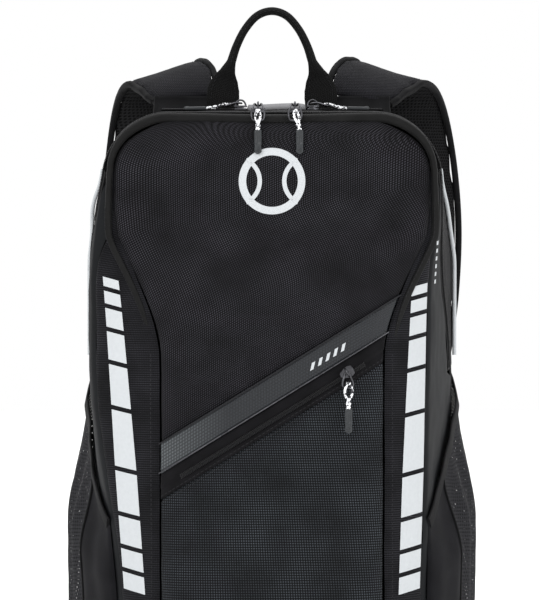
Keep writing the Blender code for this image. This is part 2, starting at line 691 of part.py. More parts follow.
# The centre of the right shoulder strap: position, and how far its width leans down outwards.
STRAP_ROUTE = (
    ((0.0730, 0.1085, 0.5020), 0.00, 0.0090),
    ((0.0755, 0.1125, 0.5105), 0.10, 0.0110),
    ((0.0820, 0.1200, 0.5195), 0.22, 0.0125),
    ((0.0920, 0.1320, 0.5265), 0.34, 0.0130),
    ((0.1040, 0.1510, 0.5270), 0.38, 0.0130),
    ((0.1160, 0.1720, 0.5110), 0.30, 0.0130),
    ((0.1260, 0.1890, 0.4800), 0.15, 0.0130),
    ((0.1330, 0.1985, 0.4380), 0.05, 0.0130),
    ((0.1360, 0.2030, 0.3900), 0.00, 0.0130),
    ((0.1330, 0.2000, 0.3350), 0.00, 0.0130),
    ((0.1260, 0.1890, 0.2800), 0.00, 0.0130),
    ((0.1180, 0.1740, 0.2350), 0.00, 0.0120),
    ((0.1130, 0.1640, 0.2100), 0.00, 0.0090),
)
LEFT_STRAP_SPREAD = 0.72
STRAP_TAPER = (0.80, 0.90, 1.0, 1.0, 1.0, 1.0, 1.0, 1.0, 1.0, 1.0, 0.95, 0.78, 0.52)


def route_frames(centres, lean):
    across, thick = [], []
    for i, centre in enumerate(centres):
        along = (centres[min(i + 1, len(centres) - 1)] - centres[max(i - 1, 0)]).normalized()
        wide = Vector((1, 0, -lean[i]))
        wide = (wide - along * wide.dot(along)).normalized()
        across.append(wide)
        thick.append(along.cross(wide).normalized())
    return across, thick


def spread(side, x):
    """The left strap hangs closer to the body than the right one."""
    root = STRAP_ROUTE[0][0][0]
    return root + (x - root) * (1.0 if side > 0 else LEFT_STRAP_SPREAD)


def build_straps():
    for side, end in ((-1, "left"), (1, "right")):
        centres = [Vector((spread(side, p[0]), p[1], p[2])) for p, _, _ in STRAP_ROUTE]
        across, thick = route_frames(centres, [lean for _, lean, _ in STRAP_ROUTE])
        ribbon("shoulder_strap_" + end, mirrored(centres, side), mirrored(across, side),
               mirrored(thick, side), [STRAP_WIDTH * t for t in STRAP_TAPER],
               [depth for _, _, depth in STRAP_ROUTE], "plain_black", 5)

        lock_centre = Vector((spread(side, 0.1108), 0.1578, 0.1905))
        lean = (centres[-1] - lock_centre).normalized()
        wide = (Vector((1, 0, 0)) - lean * lean.x).normalized()
        normal = wide.cross(lean)
        place = frame_matrix(*mirrored([lock_centre, wide, lean, normal], side))
        slots = [[(x, y + dy) for x, y in rounded_rectangle(0.0272, 0.0052, 0.0012, 2)]
                 for dy in (0.0046, -0.0046)]
        plate("ladder_lock_" + end, [rounded_rectangle(0.0340, 0.0260, 0.0030, 3)] + slots,
              0.0032, place, "plastic")
        build_lower_webbing(side, end, lock_centre, lean, normal)
        names = [part + end for part in ("shoulder_strap_", "ladder_lock_", "lower_webbing_")]
        hang_on("strap_hinge_" + end, mirrored([ANCHOR], side)[0], names)


ANCHOR = Vector((0.1190, 0.1080, 0.0420))


def build_lower_webbing(side, end, lock, lean, normal):
    """Webbing from the base, up behind the lock, over its middle bar and down as a tail."""
    route = [ANCHOR, lerp(ANCHOR, lock, 0.3) + Vector((0, 0.004, 0)),
             lerp(ANCHOR, lock, 0.62) + Vector((0, 0.005, 0)),
             lock - lean * 0.020 - normal * 0.0034,
             lock - lean * 0.002 - normal * 0.0038,
             lock + lean * 0.0047 - normal * 0.0022,
             lock + lean * 0.0047 + normal * 0.0022,
             lock - lean * 0.002 + normal * 0.0040,
             lock - lean * 0.018 + normal * 0.0050,
             lock + Vector((0, 0.014, -0.055)), lock + Vector((0, 0.015, -0.085))]
    across, thick = [], []
    for i, point in enumerate(route):
        along = (route[min(i + 1, len(route) - 1)] - route[max(i - 1, 0)]).normalized()
        wide = Vector((1, 0, 0))
        wide = (wide - along * wide.dot(along)).normalized()
        across.append(wide)
        thick.append(along.cross(wide).normalized())
    ribbon("lower_webbing_" + end, mirrored(route, side), mirrored(across, side),
           mirrored(thick, side), [WEBBING_WIDTH] * len(route),
           [WEBBING_THICKNESS] * len(route), "webbing", 5)


def build_strap_roots():
    """The fabric yokes and wings that anchor the straps on the back panel."""
    upright = Matrix.Rotation(math.pi / 2, 4, "X")
    for side, end in ((-1, "left"), (1, "right")):
        place = Matrix.Translation((0.073 * side, Y_BACK + 0.0085 + 0.0022, 0.455)) @ upright
        plate("strap_yoke_" + end, [rounded_rectangle(0.062, 0.060, 0.004, 2)], 0.0030, place, "plain_black")
        place = Matrix.Translation((0.122 * side, Y_BACK + 0.0085 + 0.0022, 0.033)) @ upright
        outline = [(-0.020, -0.018), (0.020, -0.018), (0.020, 0.000), (0.010, 0.0160), (-0.016, 0.0160)]
        plate("strap_wing_" + end, [[(x * side, y) for x, y in outline]], 0.0030, place, "plain_black")


# ---------------------------------------------------------------- build everything
build_front()
build_facets()
build_side_walls()
build_top()
build_plates()
build_piping()
build_side_pockets()
build_zip_chains()
build_sliders()
build_handle()
build_straps()
build_strap_roots()
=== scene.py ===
"""The racket backpack's looks: soft panels, zips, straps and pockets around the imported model.

Sizes and places repeat the driving dimensions of the CAD. Metres, +Z up, the front faces -Y."""

import json
import math

import bmesh
import bpy
import numpy as np
from mathutils import Matrix, Vector, noise
from mathutils.bvhtree import BVHTree

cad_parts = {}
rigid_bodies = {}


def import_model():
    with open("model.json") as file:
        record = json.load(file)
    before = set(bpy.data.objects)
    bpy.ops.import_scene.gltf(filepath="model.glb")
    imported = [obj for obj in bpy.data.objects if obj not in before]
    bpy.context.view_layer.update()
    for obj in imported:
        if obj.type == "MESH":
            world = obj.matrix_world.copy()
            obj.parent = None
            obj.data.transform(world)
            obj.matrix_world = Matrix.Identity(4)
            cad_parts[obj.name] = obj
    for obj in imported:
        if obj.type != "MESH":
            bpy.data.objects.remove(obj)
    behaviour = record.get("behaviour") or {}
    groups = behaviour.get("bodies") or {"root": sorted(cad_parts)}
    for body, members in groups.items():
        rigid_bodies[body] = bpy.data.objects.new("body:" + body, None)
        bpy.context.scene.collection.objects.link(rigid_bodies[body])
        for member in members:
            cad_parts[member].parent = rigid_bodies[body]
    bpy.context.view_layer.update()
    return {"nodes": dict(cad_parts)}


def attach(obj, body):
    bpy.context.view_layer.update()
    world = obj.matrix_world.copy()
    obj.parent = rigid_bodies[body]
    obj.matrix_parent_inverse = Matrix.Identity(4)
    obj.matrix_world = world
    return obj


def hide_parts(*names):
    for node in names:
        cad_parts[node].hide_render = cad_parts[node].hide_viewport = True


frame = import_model()

# ---------------------------------------------------------------- dimensions shared with the CAD
FLOOR_GAP = 0.009
Y_EDGE, Y_REAR, Y_BACK = -0.062, 0.045, 0.088
BACK_FACE_Y = Y_BACK + 0.0085
CORNER_Z = 0.436
MIDDLE_Z = 0.36
MAIN_ZIP_END_Z = 0.270
FRONT_HALF_LOW, FRONT_HALF_TOP = 0.0900, 0.1260
WAIST_Z = (0.285, 0.410)
FRONT_EDGE_Y = (-0.090, -0.067)
FRONT_BULGE = 0.009
DIAGONAL_SLOPE = 0.61
BAND_TOP_Z, BAND_LOW_Z, POCKET_TOP_Z = 0.2735, 0.2490, 0.2290
TOP_ZIP_SHARE, RACKET_ZIP_SHARE = 0.044, 0.42

# One contour: half width of the top, middle and base, height of the top, corner radius.
EDGE_CONTOUR = (0.1275, 0.1260, 0.1200, 0.4805, 0.0445)
REAR_CONTOUR = (0.1395, 0.1510, 0.1500, 0.4900, 0.0540)
BACK_CONTOUR = (0.1350, 0.1470, 0.1470, 0.4930, 0.0570)
FRONT_SEAM = 0.0045
FRONT_TOP_Z = EDGE_CONTOUR[3] - FRONT_SEAM

FOOT_Z = FLOOR_GAP - 0.001  # where the panels tuck into the base
TOP_SHARE = 0.42  # the part of a whole outline that lies over the top
SEW_IN = 0.0008  # how far a front panel's sides are sewn in

SIDES = ((-1, "left"), (1, "right"))
UP, DOWN, RIGHT = Vector((0, 0, 1)), Vector((0, 0, -1)), Vector((1, 0, 0))
FORWARD, BACK = Vector((0, -1, 0)), Vector((0, 1, 0))


# ---------------------------------------------------------------- the body's surfaces
def smooth(low, high, value):
    """0 at low and 1 at high, with an even S between them and no change outside."""
    t = min(1.0, max(0.0, (value - low) / (high - low)))
    return t * t * (3 - 2 * t)


def lerp(a, b, t):
    return a + (b - a) * t


def half_width(contour, z):
    """Half width of a contour at height z, round its top corner and down its side."""
    top, middle, low, height, radius = contour
    if z >= height - radius:
        rise = min(radius, z - (height - radius))
        return top - radius + math.sqrt(radius * radius - rise * rise)
    if z >= MIDDLE_Z:
        return lerp(middle, top, smooth(MIDDLE_Z, CORNER_Z, z))
    return lerp(low, middle, smooth(0.0, MIDDLE_Z, z))


def front_half(z):
    """Half width of the front panel: narrow at the base, wide above the waist."""
    waist = lerp(FRONT_HALF_LOW, FRONT_HALF_TOP, smooth(*WAIST_Z, z))
    return min(waist, half_width(EDGE_CONTOUR, z + FRONT_SEAM) - FRONT_SEAM)


def front_edge_y(z):
    """Depth of the front panel's side seam at height z."""
    return lerp(*FRONT_EDGE_Y, smooth(*WAIST_Z, z))


def front_y(share, z):
    """Depth of the front surface, share 0 on the middle line and 1 at the side seam."""
    rise = min(1.0, max(0.0, (FRONT_TOP_Z - z) / 0.055))
    belly = 0.004 * smooth(0.19, 0.09, z) if z < 0.19 else 0.0
    bulge = (FRONT_BULGE + belly) * (1 - min(1, abs(share)) ** 6)
    return front_edge_y(z) - bulge * math.sqrt(rise * (2 - rise))


def on_front(x, z, proud=0.0):
    """The point of the front surface at (x, z)."""
    return Vector((x, front_y(x / max(0.02, front_half(z)), z) - proud, z))


def diagonal_z(middle_z, share):
    """Height of a diagonal seam at a share of the front's half width, found by repeated steps."""
    z = middle_z
    for _ in range(12):
        z = middle_z + DIAGONAL_SLOPE * share * front_half(z)
    return z


def contours_at(y):
    """The two contours that depth y lies between, and its share of the way to the second."""
    if y <= Y_REAR:
        return EDGE_CONTOUR, REAR_CONTOUR, (y - Y_EDGE) / (Y_REAR - Y_EDGE)
    return REAR_CONTOUR, BACK_CONTOUR, (y - Y_REAR) / (Y_BACK - Y_REAR)


def wall_x(y, z):
    """Half width of the side walls at depth y and height z."""
    a, b, t = contours_at(y)
    return lerp(half_width(a, z), half_width(b, z), t)


def section(y):
    """The body's contour at depth y: half width at the top, top height and corner radius."""
    a, b, t = contours_at(y)
    return tuple(lerp(a[k], b[k], t) for k in (0, 3, 4))


def arch_point(y, u, swell=0.0):
    """A point over the top at depth y. u runs from -1 at the left corner's end to 1 at the right."""
    half, height, radius = section(y)
    straight, corner = half - radius, radius * math.pi / 2
    length = abs(u) * (straight + corner)
    side = 1 if u >= 0 else -1
    if length <= straight:
        return Vector((side * length, y, height + swell)), UP
    angle = math.pi / 2 - (length - straight) / radius
    out = Vector((side * math.cos(angle), 0, math.sin(angle)))
    return Vector((side * straight, y, height - radius)) + out * (radius + swell), out


def zip_share(z):
    """Where the main zip runs on the side wall."""
    return lerp(0.84, TOP_ZIP_SHARE, smooth(MAIN_ZIP_END_Z, CORNER_Z + 0.01, z))


# ---------------------------------------------------------------- materials
class Nodes:
    """A short way to write a node tree: each call adds one node and returns its first output."""

    def __init__(self, name):
        self.material = bpy.data.materials.new(name)
        self.material.use_nodes = True
        self.tree = self.material.node_tree
        self.shader = self.tree.nodes["Principled BSDF"]

    def node(self, kind, inputs=(), output=0, **settings):
        made = self.tree.nodes.new(kind)
        for key, value in settings.items():
            setattr(made, key, value)
        for key, value in dict(inputs).items():
            self.put(made.inputs[key], value)
        return made.outputs[output]

    def put(self, socket, value):
        if isinstance(value, bpy.types.NodeSocket):
            self.tree.links.new(value, socket)
        elif socket.type == "RGBA":
            socket.default_value = (*value, 1.0)
        else:
            socket.default_value = value

    def math(self, operation, a, b=0.0, c=0.0):
        return self.node("ShaderNodeMath", {0: a, 1: b, 2: c}, operation=operation)

    def mix(self, factor, a, b):
        return self.node("ShaderNodeMix", {0: factor, 6: a, 7: b}, output=2, data_type="RGBA")

    def ramp(self, value, low, high):
        return self.node("ShaderNodeMapRange", {0: value, 1: low, 2: high})

    def noise(self, vector, scale, detail=2.0):
        return self.node("ShaderNodeTexNoise", {"Vector": vector, "Scale": scale, "Detail": detail})

    def uv(self):
        """The piece's own coordinates along its cloth, in metres."""
        return self.node("ShaderNodeUVMap")

    def place(self):
        return self.node("ShaderNodeTexCoord", output=3)

    def split(self, vector):
        made = self.tree.nodes.new("ShaderNodeSeparateXYZ")
        self.tree.links.new(vector, made.inputs[0])
        return made.outputs[0], made.outputs[1], made.outputs[2]

    def wave(self, coordinate, pitch):
        """A sine from 0 to 1 that repeats every pitch metres."""
        turned = self.math("MULTIPLY", coordinate, 2 * math.pi / pitch)
        return self.math("MULTIPLY_ADD", self.math("SINE", turned), 0.5, 0.5)

    def finish(self, colour, roughness, height=None, depth=0.0004, strength=0.6, **more):
        self.put(self.shader.inputs["Base Color"], colour)
        self.put(self.shader.inputs["Roughness"], roughness)
        if height is not None:
            bump = self.node("ShaderNodeBump", {"Height": height, "Distance": depth, "Strength": strength})
            self.put(self.shader.inputs["Normal"], bump)
        for key, value in more.items():
            self.put(self.shader.inputs[key.replace("_", " ")], value)
        return self.material


def cloth_coordinates(n, solid=False):
    """Along and across the cloth. A solid piece has no UVs, so its own place stands in."""
    if not solid:
        u, v, _ = n.split(n.uv())
        return u, v
    x, y, z = n.split(n.place())
    return n.math("ADD", x, y), z


def grid_cloth(name, dark, light, pitch, roughness, solid=False, sheen=0.03):
    """A dobby weave: small raised cells between darker yarns, a little uneven."""
    n = Nodes(name)
    u, v = cloth_coordinates(n, solid)
    cells = n.math("MULTIPLY", n.wave(u, pitch), n.wave(v, pitch))
    fine = n.math("MULTIPLY", n.wave(u, pitch / 4), n.wave(v, pitch / 4))
    blotch = n.noise(n.place(), 28.0, 3.0)
    level = n.math("MULTIPLY", n.ramp(cells, 0.1, 0.8), n.ramp(blotch, 0.1, 0.75))
    height = n.math("MULTIPLY_ADD", fine, 0.35, cells)
    rough = n.math("MULTIPLY_ADD", blotch, 0.12, roughness - 0.06)
    return n.finish(n.mix(level, dark, light), rough, height, 0.00045, 0.7,
                    Sheen_Weight=sheen, Sheen_Roughness=0.4, Specular_IOR_Level=0.10)


def ribbed_cloth(name, dark, light, pitch, roughness, solid=False):
    """A cloth with ribs across it, each rib broken into short floats."""
    n = Nodes(name)
    u, v = cloth_coordinates(n, solid)
    rib = n.wave(v, pitch)
    floats = n.wave(u, pitch * 0.8)
    level = n.math("MULTIPLY", rib, n.math("MULTIPLY_ADD", floats, 0.4, 0.6))
    blotch = n.noise(n.place(), 35.0, 3.0)
    colour = n.mix(n.math("MULTIPLY", level, n.ramp(blotch, 0.2, 0.8)), dark, light)
    return n.finish(colour, roughness, level, 0.0005, 0.7,
                    Sheen_Weight=0.02, Sheen_Roughness=0.4, Specular_IOR_Level=0.10)


def plain_cloth(name, dark, light, roughness, pitch=0.0009, solid=False):
    """A tight twill: fine diagonal ribs."""
    n = Nodes(name)
    u, v = cloth_coordinates(n, solid)
    twill = n.wave(n.math("ADD", u, v), pitch)
    blotch = n.noise(n.place(), 60.0, 4.0)
    colour = n.mix(n.math("MULTIPLY", n.ramp(blotch, 0.25, 0.75), twill), dark, light)
    return n.finish(colour, roughness, twill, 0.0002, 0.5, Sheen_Weight=0.02, Specular_IOR_Level=0.10)


def coated_cloth(name, dark, light, roughness):
    """A smooth coated cloth: faint grain and slow changes of shade."""
    n = Nodes(name)
    grain = n.noise(n.place(), 900.0, 2.0)
    cloud = n.noise(n.place(), 14.0, 3.0)
    rough = n.math("MULTIPLY_ADD", cloud, 0.2, roughness - 0.1)
    return n.finish(n.mix(n.ramp(cloud, 0.3, 0.7), dark, light), rough, grain, 0.0002, 0.35,
                    Specular_IOR_Level=0.12)


def film(name):
    """The embossed glossy film of the band: square cells under a clear skin, with a painted highlight towards
    its lower left end.
    """
    n = Nodes(name)
    u, v, _ = n.split(n.uv())
    cells = n.math("MULTIPLY", n.wave(u, 0.0026), n.wave(v, 0.0026))
    x, _, _ = n.split(n.place())
    # Painted highlight: both cell colours grow lighter from x = -0.035 out to the lower left end at x =
    # -0.092.
    painted_highlight = n.ramp(x, -0.035, -0.092)
    light = n.mix(painted_highlight, (0.010, 0.0125, 0.0165), (0.090, 0.101, 0.107))
    dark = n.mix(painted_highlight, (0.006, 0.007, 0.009), (0.028, 0.031, 0.034))
    return n.finish(n.mix(n.ramp(cells, 0.15, 0.6), dark, light), 0.42, cells, 0.0005, 0.8,
                    Specular_IOR_Level=0.3, Coat_Weight=0.04, Coat_Roughness=0.25)


def hole_distance(n, u, v, pitch, rise):
    """Distance from the nearest hole's middle, in pitches. Each row is set over by half a hole."""
    level = n.math("DIVIDE", v, rise)
    shifted = n.math("MULTIPLY_ADD", n.math("FLOOR", level), pitch / 2, u)
    a = n.math("SUBTRACT", n.math("FRACT", n.math("DIVIDE", shifted, pitch)), 0.5)
    b = n.math("SUBTRACT", n.math("FRACT", level), 0.5)
    return n.math("SQRT", n.math("ADD", n.math("MULTIPLY", a, a), n.math("MULTIPLY", b, b)))


def spacer_mesh(name, tone=0.0055, pitch=0.0030):
    """A thick knitted mesh with rows of round holes."""
    n = Nodes(name)
    rim = n.ramp(hole_distance(n, *cloth_coordinates(n, True), pitch, pitch * 0.866), 0.22, 0.36)
    light = (tone * 1.9, tone * 1.9, tone * 2.0)
    colour = n.mix(rim, (tone * 0.25, tone * 0.25, tone * 0.25), light)
    return n.finish(colour, 0.85, rim, 0.0010, 0.9, Specular_IOR_Level=0.08)


def stretch_mesh(name):
    """The pockets' stretch mesh: vertical wales with small real holes between them."""
    n = Nodes(name)
    u, v, _ = n.split(n.uv())
    pitch = 0.0030
    radius = hole_distance(n, u, v, pitch, pitch)
    solid = n.math("GREATER_THAN", radius, 0.12)
    wale = n.wave(u, pitch / 2)
    colour = n.mix(n.math("MULTIPLY", wale, n.ramp(radius, 0.15, 0.45)), (0.006, 0.006, 0.007),
                   (0.030, 0.030, 0.034))
    return n.finish(colour, 0.75, n.ramp(radius, 0.15, 0.4), 0.0005, 0.8, Alpha=solid, Specular_IOR_Level=0.1)


def webbing(name, tone=0.0045, rib=0.0016):
    """Ribbed webbing: warp ribs along its length, broken by the weft."""
    n = Nodes(name)
    u, v, _ = n.split(n.uv())
    warp = n.wave(u, rib)
    weft = n.wave(n.math("MULTIPLY_ADD", n.math("ROUND", n.math("DIVIDE", u, rib)), 0.0006, v), 0.0017)
    level = n.math("MULTIPLY", warp, n.math("MULTIPLY_ADD", weft, 0.6, 0.4))
    return n.finish(n.mix(level, (tone * 0.4,) * 3, (tone * 2.2,) * 3), 0.7, level, 0.0006, 0.9,
                    Specular_IOR_Level=0.10)


def metal(name):
    """Gunmetal plating, a little cloudy."""
    n = Nodes(name)
    cloud = n.noise(n.place(), 220.0, 3.0)
    return n.finish(n.mix(cloud, (0.03, 0.03, 0.033), (0.12, 0.12, 0.13)),
                    n.math("MULTIPLY_ADD", cloud, 0.2, 0.2), cloud, 0.0001, 0.2, Metallic=0.95)


def moulded(name, colour, roughness, **more):
    """Moulded plastic or rubber with a fine grain."""
    n = Nodes(name)
    grain = n.noise(n.place(), 700.0, 2.0)
    deep = tuple(c * 0.75 for c in colour)
    return n.finish(n.mix(grain, deep, colour), roughness, grain, 0.0001, 0.3, **more)


def flecked_cord(name):
    """White cord with black flecks woven round it."""
    n = Nodes(name)
    fleck = n.node("ShaderNodeTexVoronoi", {"Vector": n.place(), "Scale": 620.0}, output=0)
    speckle = n.noise(n.place(), 520.0, 1.0)
    mask = n.math("GREATER_THAN", speckle, 0.52)
    return n.finish(n.mix(mask, (0.80, 0.81, 0.83), (0.03, 0.03, 0.035)), 0.75, fleck, 0.0003, 0.8)


def print_white(name):
    """White ink or piping, not quite even."""
    n = Nodes(name)
    grain = n.noise(n.place(), 400.0, 3.0)
    return n.finish(n.mix(grain, (0.42, 0.44, 0.455), (0.48, 0.50, 0.515)), 0.55, grain, 0.0001, 0.3)


def floor_paint(name):
    """The pale studio floor, lit a little from itself."""
    n = Nodes(name)
    grain = n.noise(n.place(), 6.0, 4.0)
    return n.finish(n.mix(grain, (0.90, 0.90, 0.90), (0.93, 0.93, 0.93)), 0.7, Emission_Color=(1.0, 1.0, 1.0),
                    Emission_Strength=0.30)


WEAVE = grid_cloth("front_weave", (0.0010, 0.0010, 0.0013), (0.054, 0.052, 0.063), 0.0018, 0.75)
POCKET_WEAVE = grid_cloth("pocket_weave", (0.0012, 0.0014, 0.0018), (0.058, 0.066, 0.077), 0.0020, 0.62)
RIBBED = ribbed_cloth("facet_ribs", (0.0014, 0.0014, 0.0018), (0.030, 0.030, 0.036), 0.0018, 0.75)
COATED = coated_cloth("coated_side", (0.0032, 0.0036, 0.0043), (0.0072, 0.0080, 0.0092), 0.65)
PLAIN = plain_cloth("plain_black", (0.0015, 0.0014, 0.0018), (0.0100, 0.0095, 0.0115), 0.75)
BINDING = plain_cloth("binding_tape", (0.0012, 0.0012, 0.0014), (0.0100, 0.0100, 0.0112), 0.7, 0.0012)
SATIN_ROLL = plain_cloth("piping_cloth", (0.0030, 0.0030, 0.0030), (0.0120, 0.0120, 0.0120), 0.55, 0.0010)
FILM = film("band_film")
PAD_MESH = spacer_mesh("spacer_mesh")
POCKET_MESH = stretch_mesh("stretch_mesh")
WEBBING = webbing("ribbed_webbing")
METAL = metal("gunmetal")
TEETH = moulded("zip_coil", (0.010, 0.010, 0.011), 0.45, Specular_IOR_Level=0.3)
PLASTIC = moulded("moulded_plastic", (0.010, 0.010, 0.011), 0.5, Specular_IOR_Level=0.3)
TAB_RUBBER = moulded("tab_rubber", (0.020, 0.023, 0.026), 0.42, Specular_IOR_Level=0.4)
CORD = flecked_cord("flecked_cord")
WHITE = print_white("white_print")
WHITE_PIPING = print_white("white_piping")
THREAD = moulded("thread", (0.020, 0.020, 0.022), 0.7, Specular_IOR_Level=0.1)
STRAP_CLOTH = grid_cloth("strap_cloth", (0.0050, 0.0050, 0.0062), (0.036, 0.035, 0.042), 0.0014, 0.75, True)
SILVER = coated_cloth("silver_lining", (0.20, 0.20, 0.21), (0.34, 0.34, 0.35), 0.4)
ELASTIC = ribbed_cloth("elastic_binding", (0.0010, 0.0010, 0.0012), (0.0130, 0.0128, 0.0145), 0.0014, 0.7)
STRETCH = plain_cloth("stretch_cloth", (0.0020, 0.0020, 0.0028), (0.0110, 0.0108, 0.0135), 0.7, 0.0014)
BACK_CLOTH = plain_cloth("back_cloth", (0.0020, 0.0020, 0.0024), (0.0110, 0.0110, 0.0120), 0.75, 0.0012)
BASE_CLOTH = plain_cloth("base_cloth", (0.0040, 0.0040, 0.0045), (0.014, 0.014, 0.015), 0.55, 0.0016, True)
INSIDE_CLOTH = plain_cloth("inside_cloth", (0.010, 0.010, 0.011), (0.022, 0.022, 0.023), 0.6, 0.0012, True)
FLOOR = floor_paint("floor_paint")


# ---------------------------------------------------------------- making pieces
def put_in_scene(name, data):
    obj = bpy.data.objects.new(name, data)
    bpy.context.scene.collection.objects.link(obj)
    return obj


def to_plain_mesh(name, bm):
    """A mesh from bm, which is freed."""
    mesh = bpy.data.meshes.new(name)
    bm.to_mesh(mesh)
    bm.free()
    return mesh


def to_mesh(name, points, faces, material, uvs=None, sharp=50):
    """A smooth mesh from points and faces. uvs holds one pair per point."""
    mesh = bpy.data.meshes.new(name)
    mesh.from_pydata([tuple(p) for p in points], [], faces)
    mesh.materials.append(material)
    if uvs is not None:
        layer = mesh.uv_layers.new(name="UVMap")
        loop_points = np.zeros(len(mesh.loops), np.int32)
        mesh.loops.foreach_get("vertex_index", loop_points)
        layer.data.foreach_set("uv", np.asarray(uvs, np.float32)[loop_points].ravel())
    mesh.shade_smooth()
    mesh.set_sharp_from_angle(angle=math.radians(sharp))
    return put_in_scene(name, mesh)


def add_modifier(obj, kind, **settings):
    """A modifier of a kind, named after it, with its settings."""
    modifier = obj.modifiers.new(kind.lower(), kind)
    for key, value in settings.items():
        setattr(modifier, key, value)
    return modifier


def bake(obj):
    """Replaces obj's mesh by what its modifiers make of it."""
    graph = bpy.context.evaluated_depsgraph_get()
    made = bpy.data.meshes.new_from_object(obj.evaluated_get(graph))
    obj.modifiers.clear()
    old, obj.data = obj.data, made
    bpy.data.meshes.remove(old)
    return obj


def set_material(obj, material):
    obj.data.materials.clear()
    obj.data.materials.append(material)


def settle(obj, body, slot, *nodes):
    """The piece rides on its body and stands for its CAD nodes. slot is not used."""
    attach(obj, body)
    if nodes:
        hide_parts(*nodes)
    return obj


def grid_faces(columns, rows, closed=False):
    faces = []
    for j in range(rows - 1):
        for i in range(columns if closed else columns - 1):
            k = (i + 1) % columns
            faces.append((j * columns + i, j * columns + k, (j + 1) * columns + k, (j + 1) * columns + i))
    return faces


def steps(grid, axis):
    """Lengths along a grid of points from its first row or column."""
    length = np.linalg.norm(np.diff(grid, axis=axis), axis=2)
    start = np.zeros([1 if k == axis else n for k, n in enumerate(grid.shape[:2])])
    return np.concatenate([start, np.cumsum(length, axis=axis)], axis=axis)


def crumple(points, scale, seed, octaves=3):
    """Soft noise from about -1 to 1 at each point."""
    offset = Vector((seed * 7.3, seed * 3.1, seed * 5.7))
    flat = points.reshape(-1, 3)
    found = [noise.fractal(Vector(p) / scale + offset, 0.6, 2.0, octaves) for p in flat]
    return np.array(found).reshape(points.shape[:2])


def distances_along(line):
    """The distance from a line's first point to each of its points."""
    return np.concatenate([[0], np.cumsum([(b - a).length for a, b in zip(line, line[1:])])])


def cloth_panel(name, surface, columns, rows, outward, material, tuck=(1, 1, 1, 1), tuck_depth=0.0026,
                tuck_width=0.005, relief=None, ripple=0.0005, seed=1.0):
    """A sewn panel. surface(u, v) gives points for u and v from 0 to 1; the edges named by tuck
    (left, right, bottom, top) turn under into their seams, and relief adds height to the cloth."""
    us, vs = np.linspace(0, 1, columns), np.linspace(0, 1, rows)
    grid = np.array([[surface(u, v) for u in us] for v in vs], float)
    along, up = steps(grid, 1), steps(grid, 0)
    normal = np.cross(np.gradient(grid, axis=1), np.gradient(grid, axis=0))
    normal /= np.maximum(1e-12, np.linalg.norm(normal, axis=2))[:, :, None]
    flipped = (normal * np.array(outward)).sum() < 0
    normal = -normal if flipped else normal
    height = ripple * crumple(grid, 0.05, seed)
    if relief is not None:
        height = height + relief(grid, along, up)
    edges = (along, along[:, -1:] - along, up, up[-1:, :] - up)
    for wanted, distance in zip(tuck, edges):
        height = height - wanted * tuck_depth * np.clip(1 - distance / tuck_width, 0, 1) ** 2
    points = (grid + normal * height[:, :, None]).reshape(-1, 3)
    uvs = np.stack([along, up], axis=2).reshape(-1, 2)
    faces = grid_faces(columns, rows)
    if flipped:
        faces = [face[::-1] for face in faces]
    return to_mesh(name, points, faces, material, uvs)


def sweep(name, centres, across, outs, profile, material, closed_ends=True):
    """A closed section carried along centres. profile(i, t) gives its (across, out) points."""
    rings = []
    for i, (centre, side, out) in enumerate(zip(centres, across, outs)):
        rings.append([centre + side * a + out * b for a, b in profile(i, i / (len(centres) - 1))])
    columns, rows = len(rings[0]), len(rings)
    faces = grid_faces(columns, rows, closed=True)
    if closed_ends:
        faces += [tuple(range(columns))[::-1], tuple(range((rows - 1) * columns, rows * columns))]
    travelled = distances_along(centres)
    uvs = []
    for ring, v in zip(rings, travelled):
        width = 0.0
        for k, p in enumerate(ring):
            uvs.append((width, v))
            width += (ring[(k + 1) % columns] - p).length
    obj = to_mesh(name, [p for ring in rings for p in ring], faces, material, uvs)
    bm = bmesh.new()
    bm.from_mesh(obj.data)
    bmesh.ops.recalc_face_normals(bm, faces=bm.faces)
    bm.to_mesh(obj.data)
    bm.free()
    return obj


def oval(width, thickness, roundness=2.0, count=16):
    """A closed section between an ellipse (2) and a rounded box (5 and up)."""
    points = []
    for k in range(count):
        angle = 2 * math.pi * (k + 0.5) / count
        c, s = math.cos(angle), math.sin(angle)
        points.append((math.copysign(abs(c) ** (2 / roundness), c) * width / 2,
                       math.copysign(abs(s) ** (2 / roundness), s) * thickness / 2))
    return points


def ribbon(width, thickness, roundness, count):
    """A profile for sweep that stays the same all along."""
    section_points = oval(width, thickness, roundness, count)
    return lambda i, t: section_points


def tangents(points):
    """The direction of a line at each of its points."""
    last = len(points) - 1
    return [(points[min(i + 1, last)] - points[max(i - 1, 0)]).normalized() for i in range(last + 1)]


def smooth_line(knots, count):
    """A Catmull-Rom line through knots, with count points."""
    padded = [2 * knots[0] - knots[1], *knots, 2 * knots[-1] - knots[-2]]
    line = []
    for i in range(count):
        place = i / (count - 1) * (len(knots) - 1)
        k = min(int(place), len(knots) - 2)
        t = place - k
        a, b, c, d = padded[k:k + 4]
        line.append(0.5 * (2 * b + (c - a) * t + (2 * a - 5 * b + 4 * c - d) * t * t
                           + (3 * b - a - 3 * c + d) * t ** 3))
    return line


def cord_tube(name, points, radius, material, cyclic=False, resolution=3):
    """A round cord along points, as a mesh."""
    curve = bpy.data.curves.new(name, "CURVE")
    curve.dimensions = "3D"
    spline = curve.splines.new("POLY")
    spline.points.add(len(points) - 1)
    for point, co in zip(spline.points, points):
        point.co = (*co, 1.0)
    spline.use_cyclic_u = cyclic
    curve.bevel_depth = radius
    curve.bevel_resolution = resolution
    curve.use_fill_caps = not cyclic
    obj = put_in_scene(name, curve)
    graph = bpy.context.evaluated_depsgraph_get()
    mesh = bpy.data.meshes.new_from_object(obj.evaluated_get(graph))
    bpy.data.objects.remove(obj)
    bpy.data.curves.remove(curve)
    mesh.materials.clear()
    mesh.materials.append(material)
    mesh.shade_smooth()
    return put_in_scene(name, mesh)


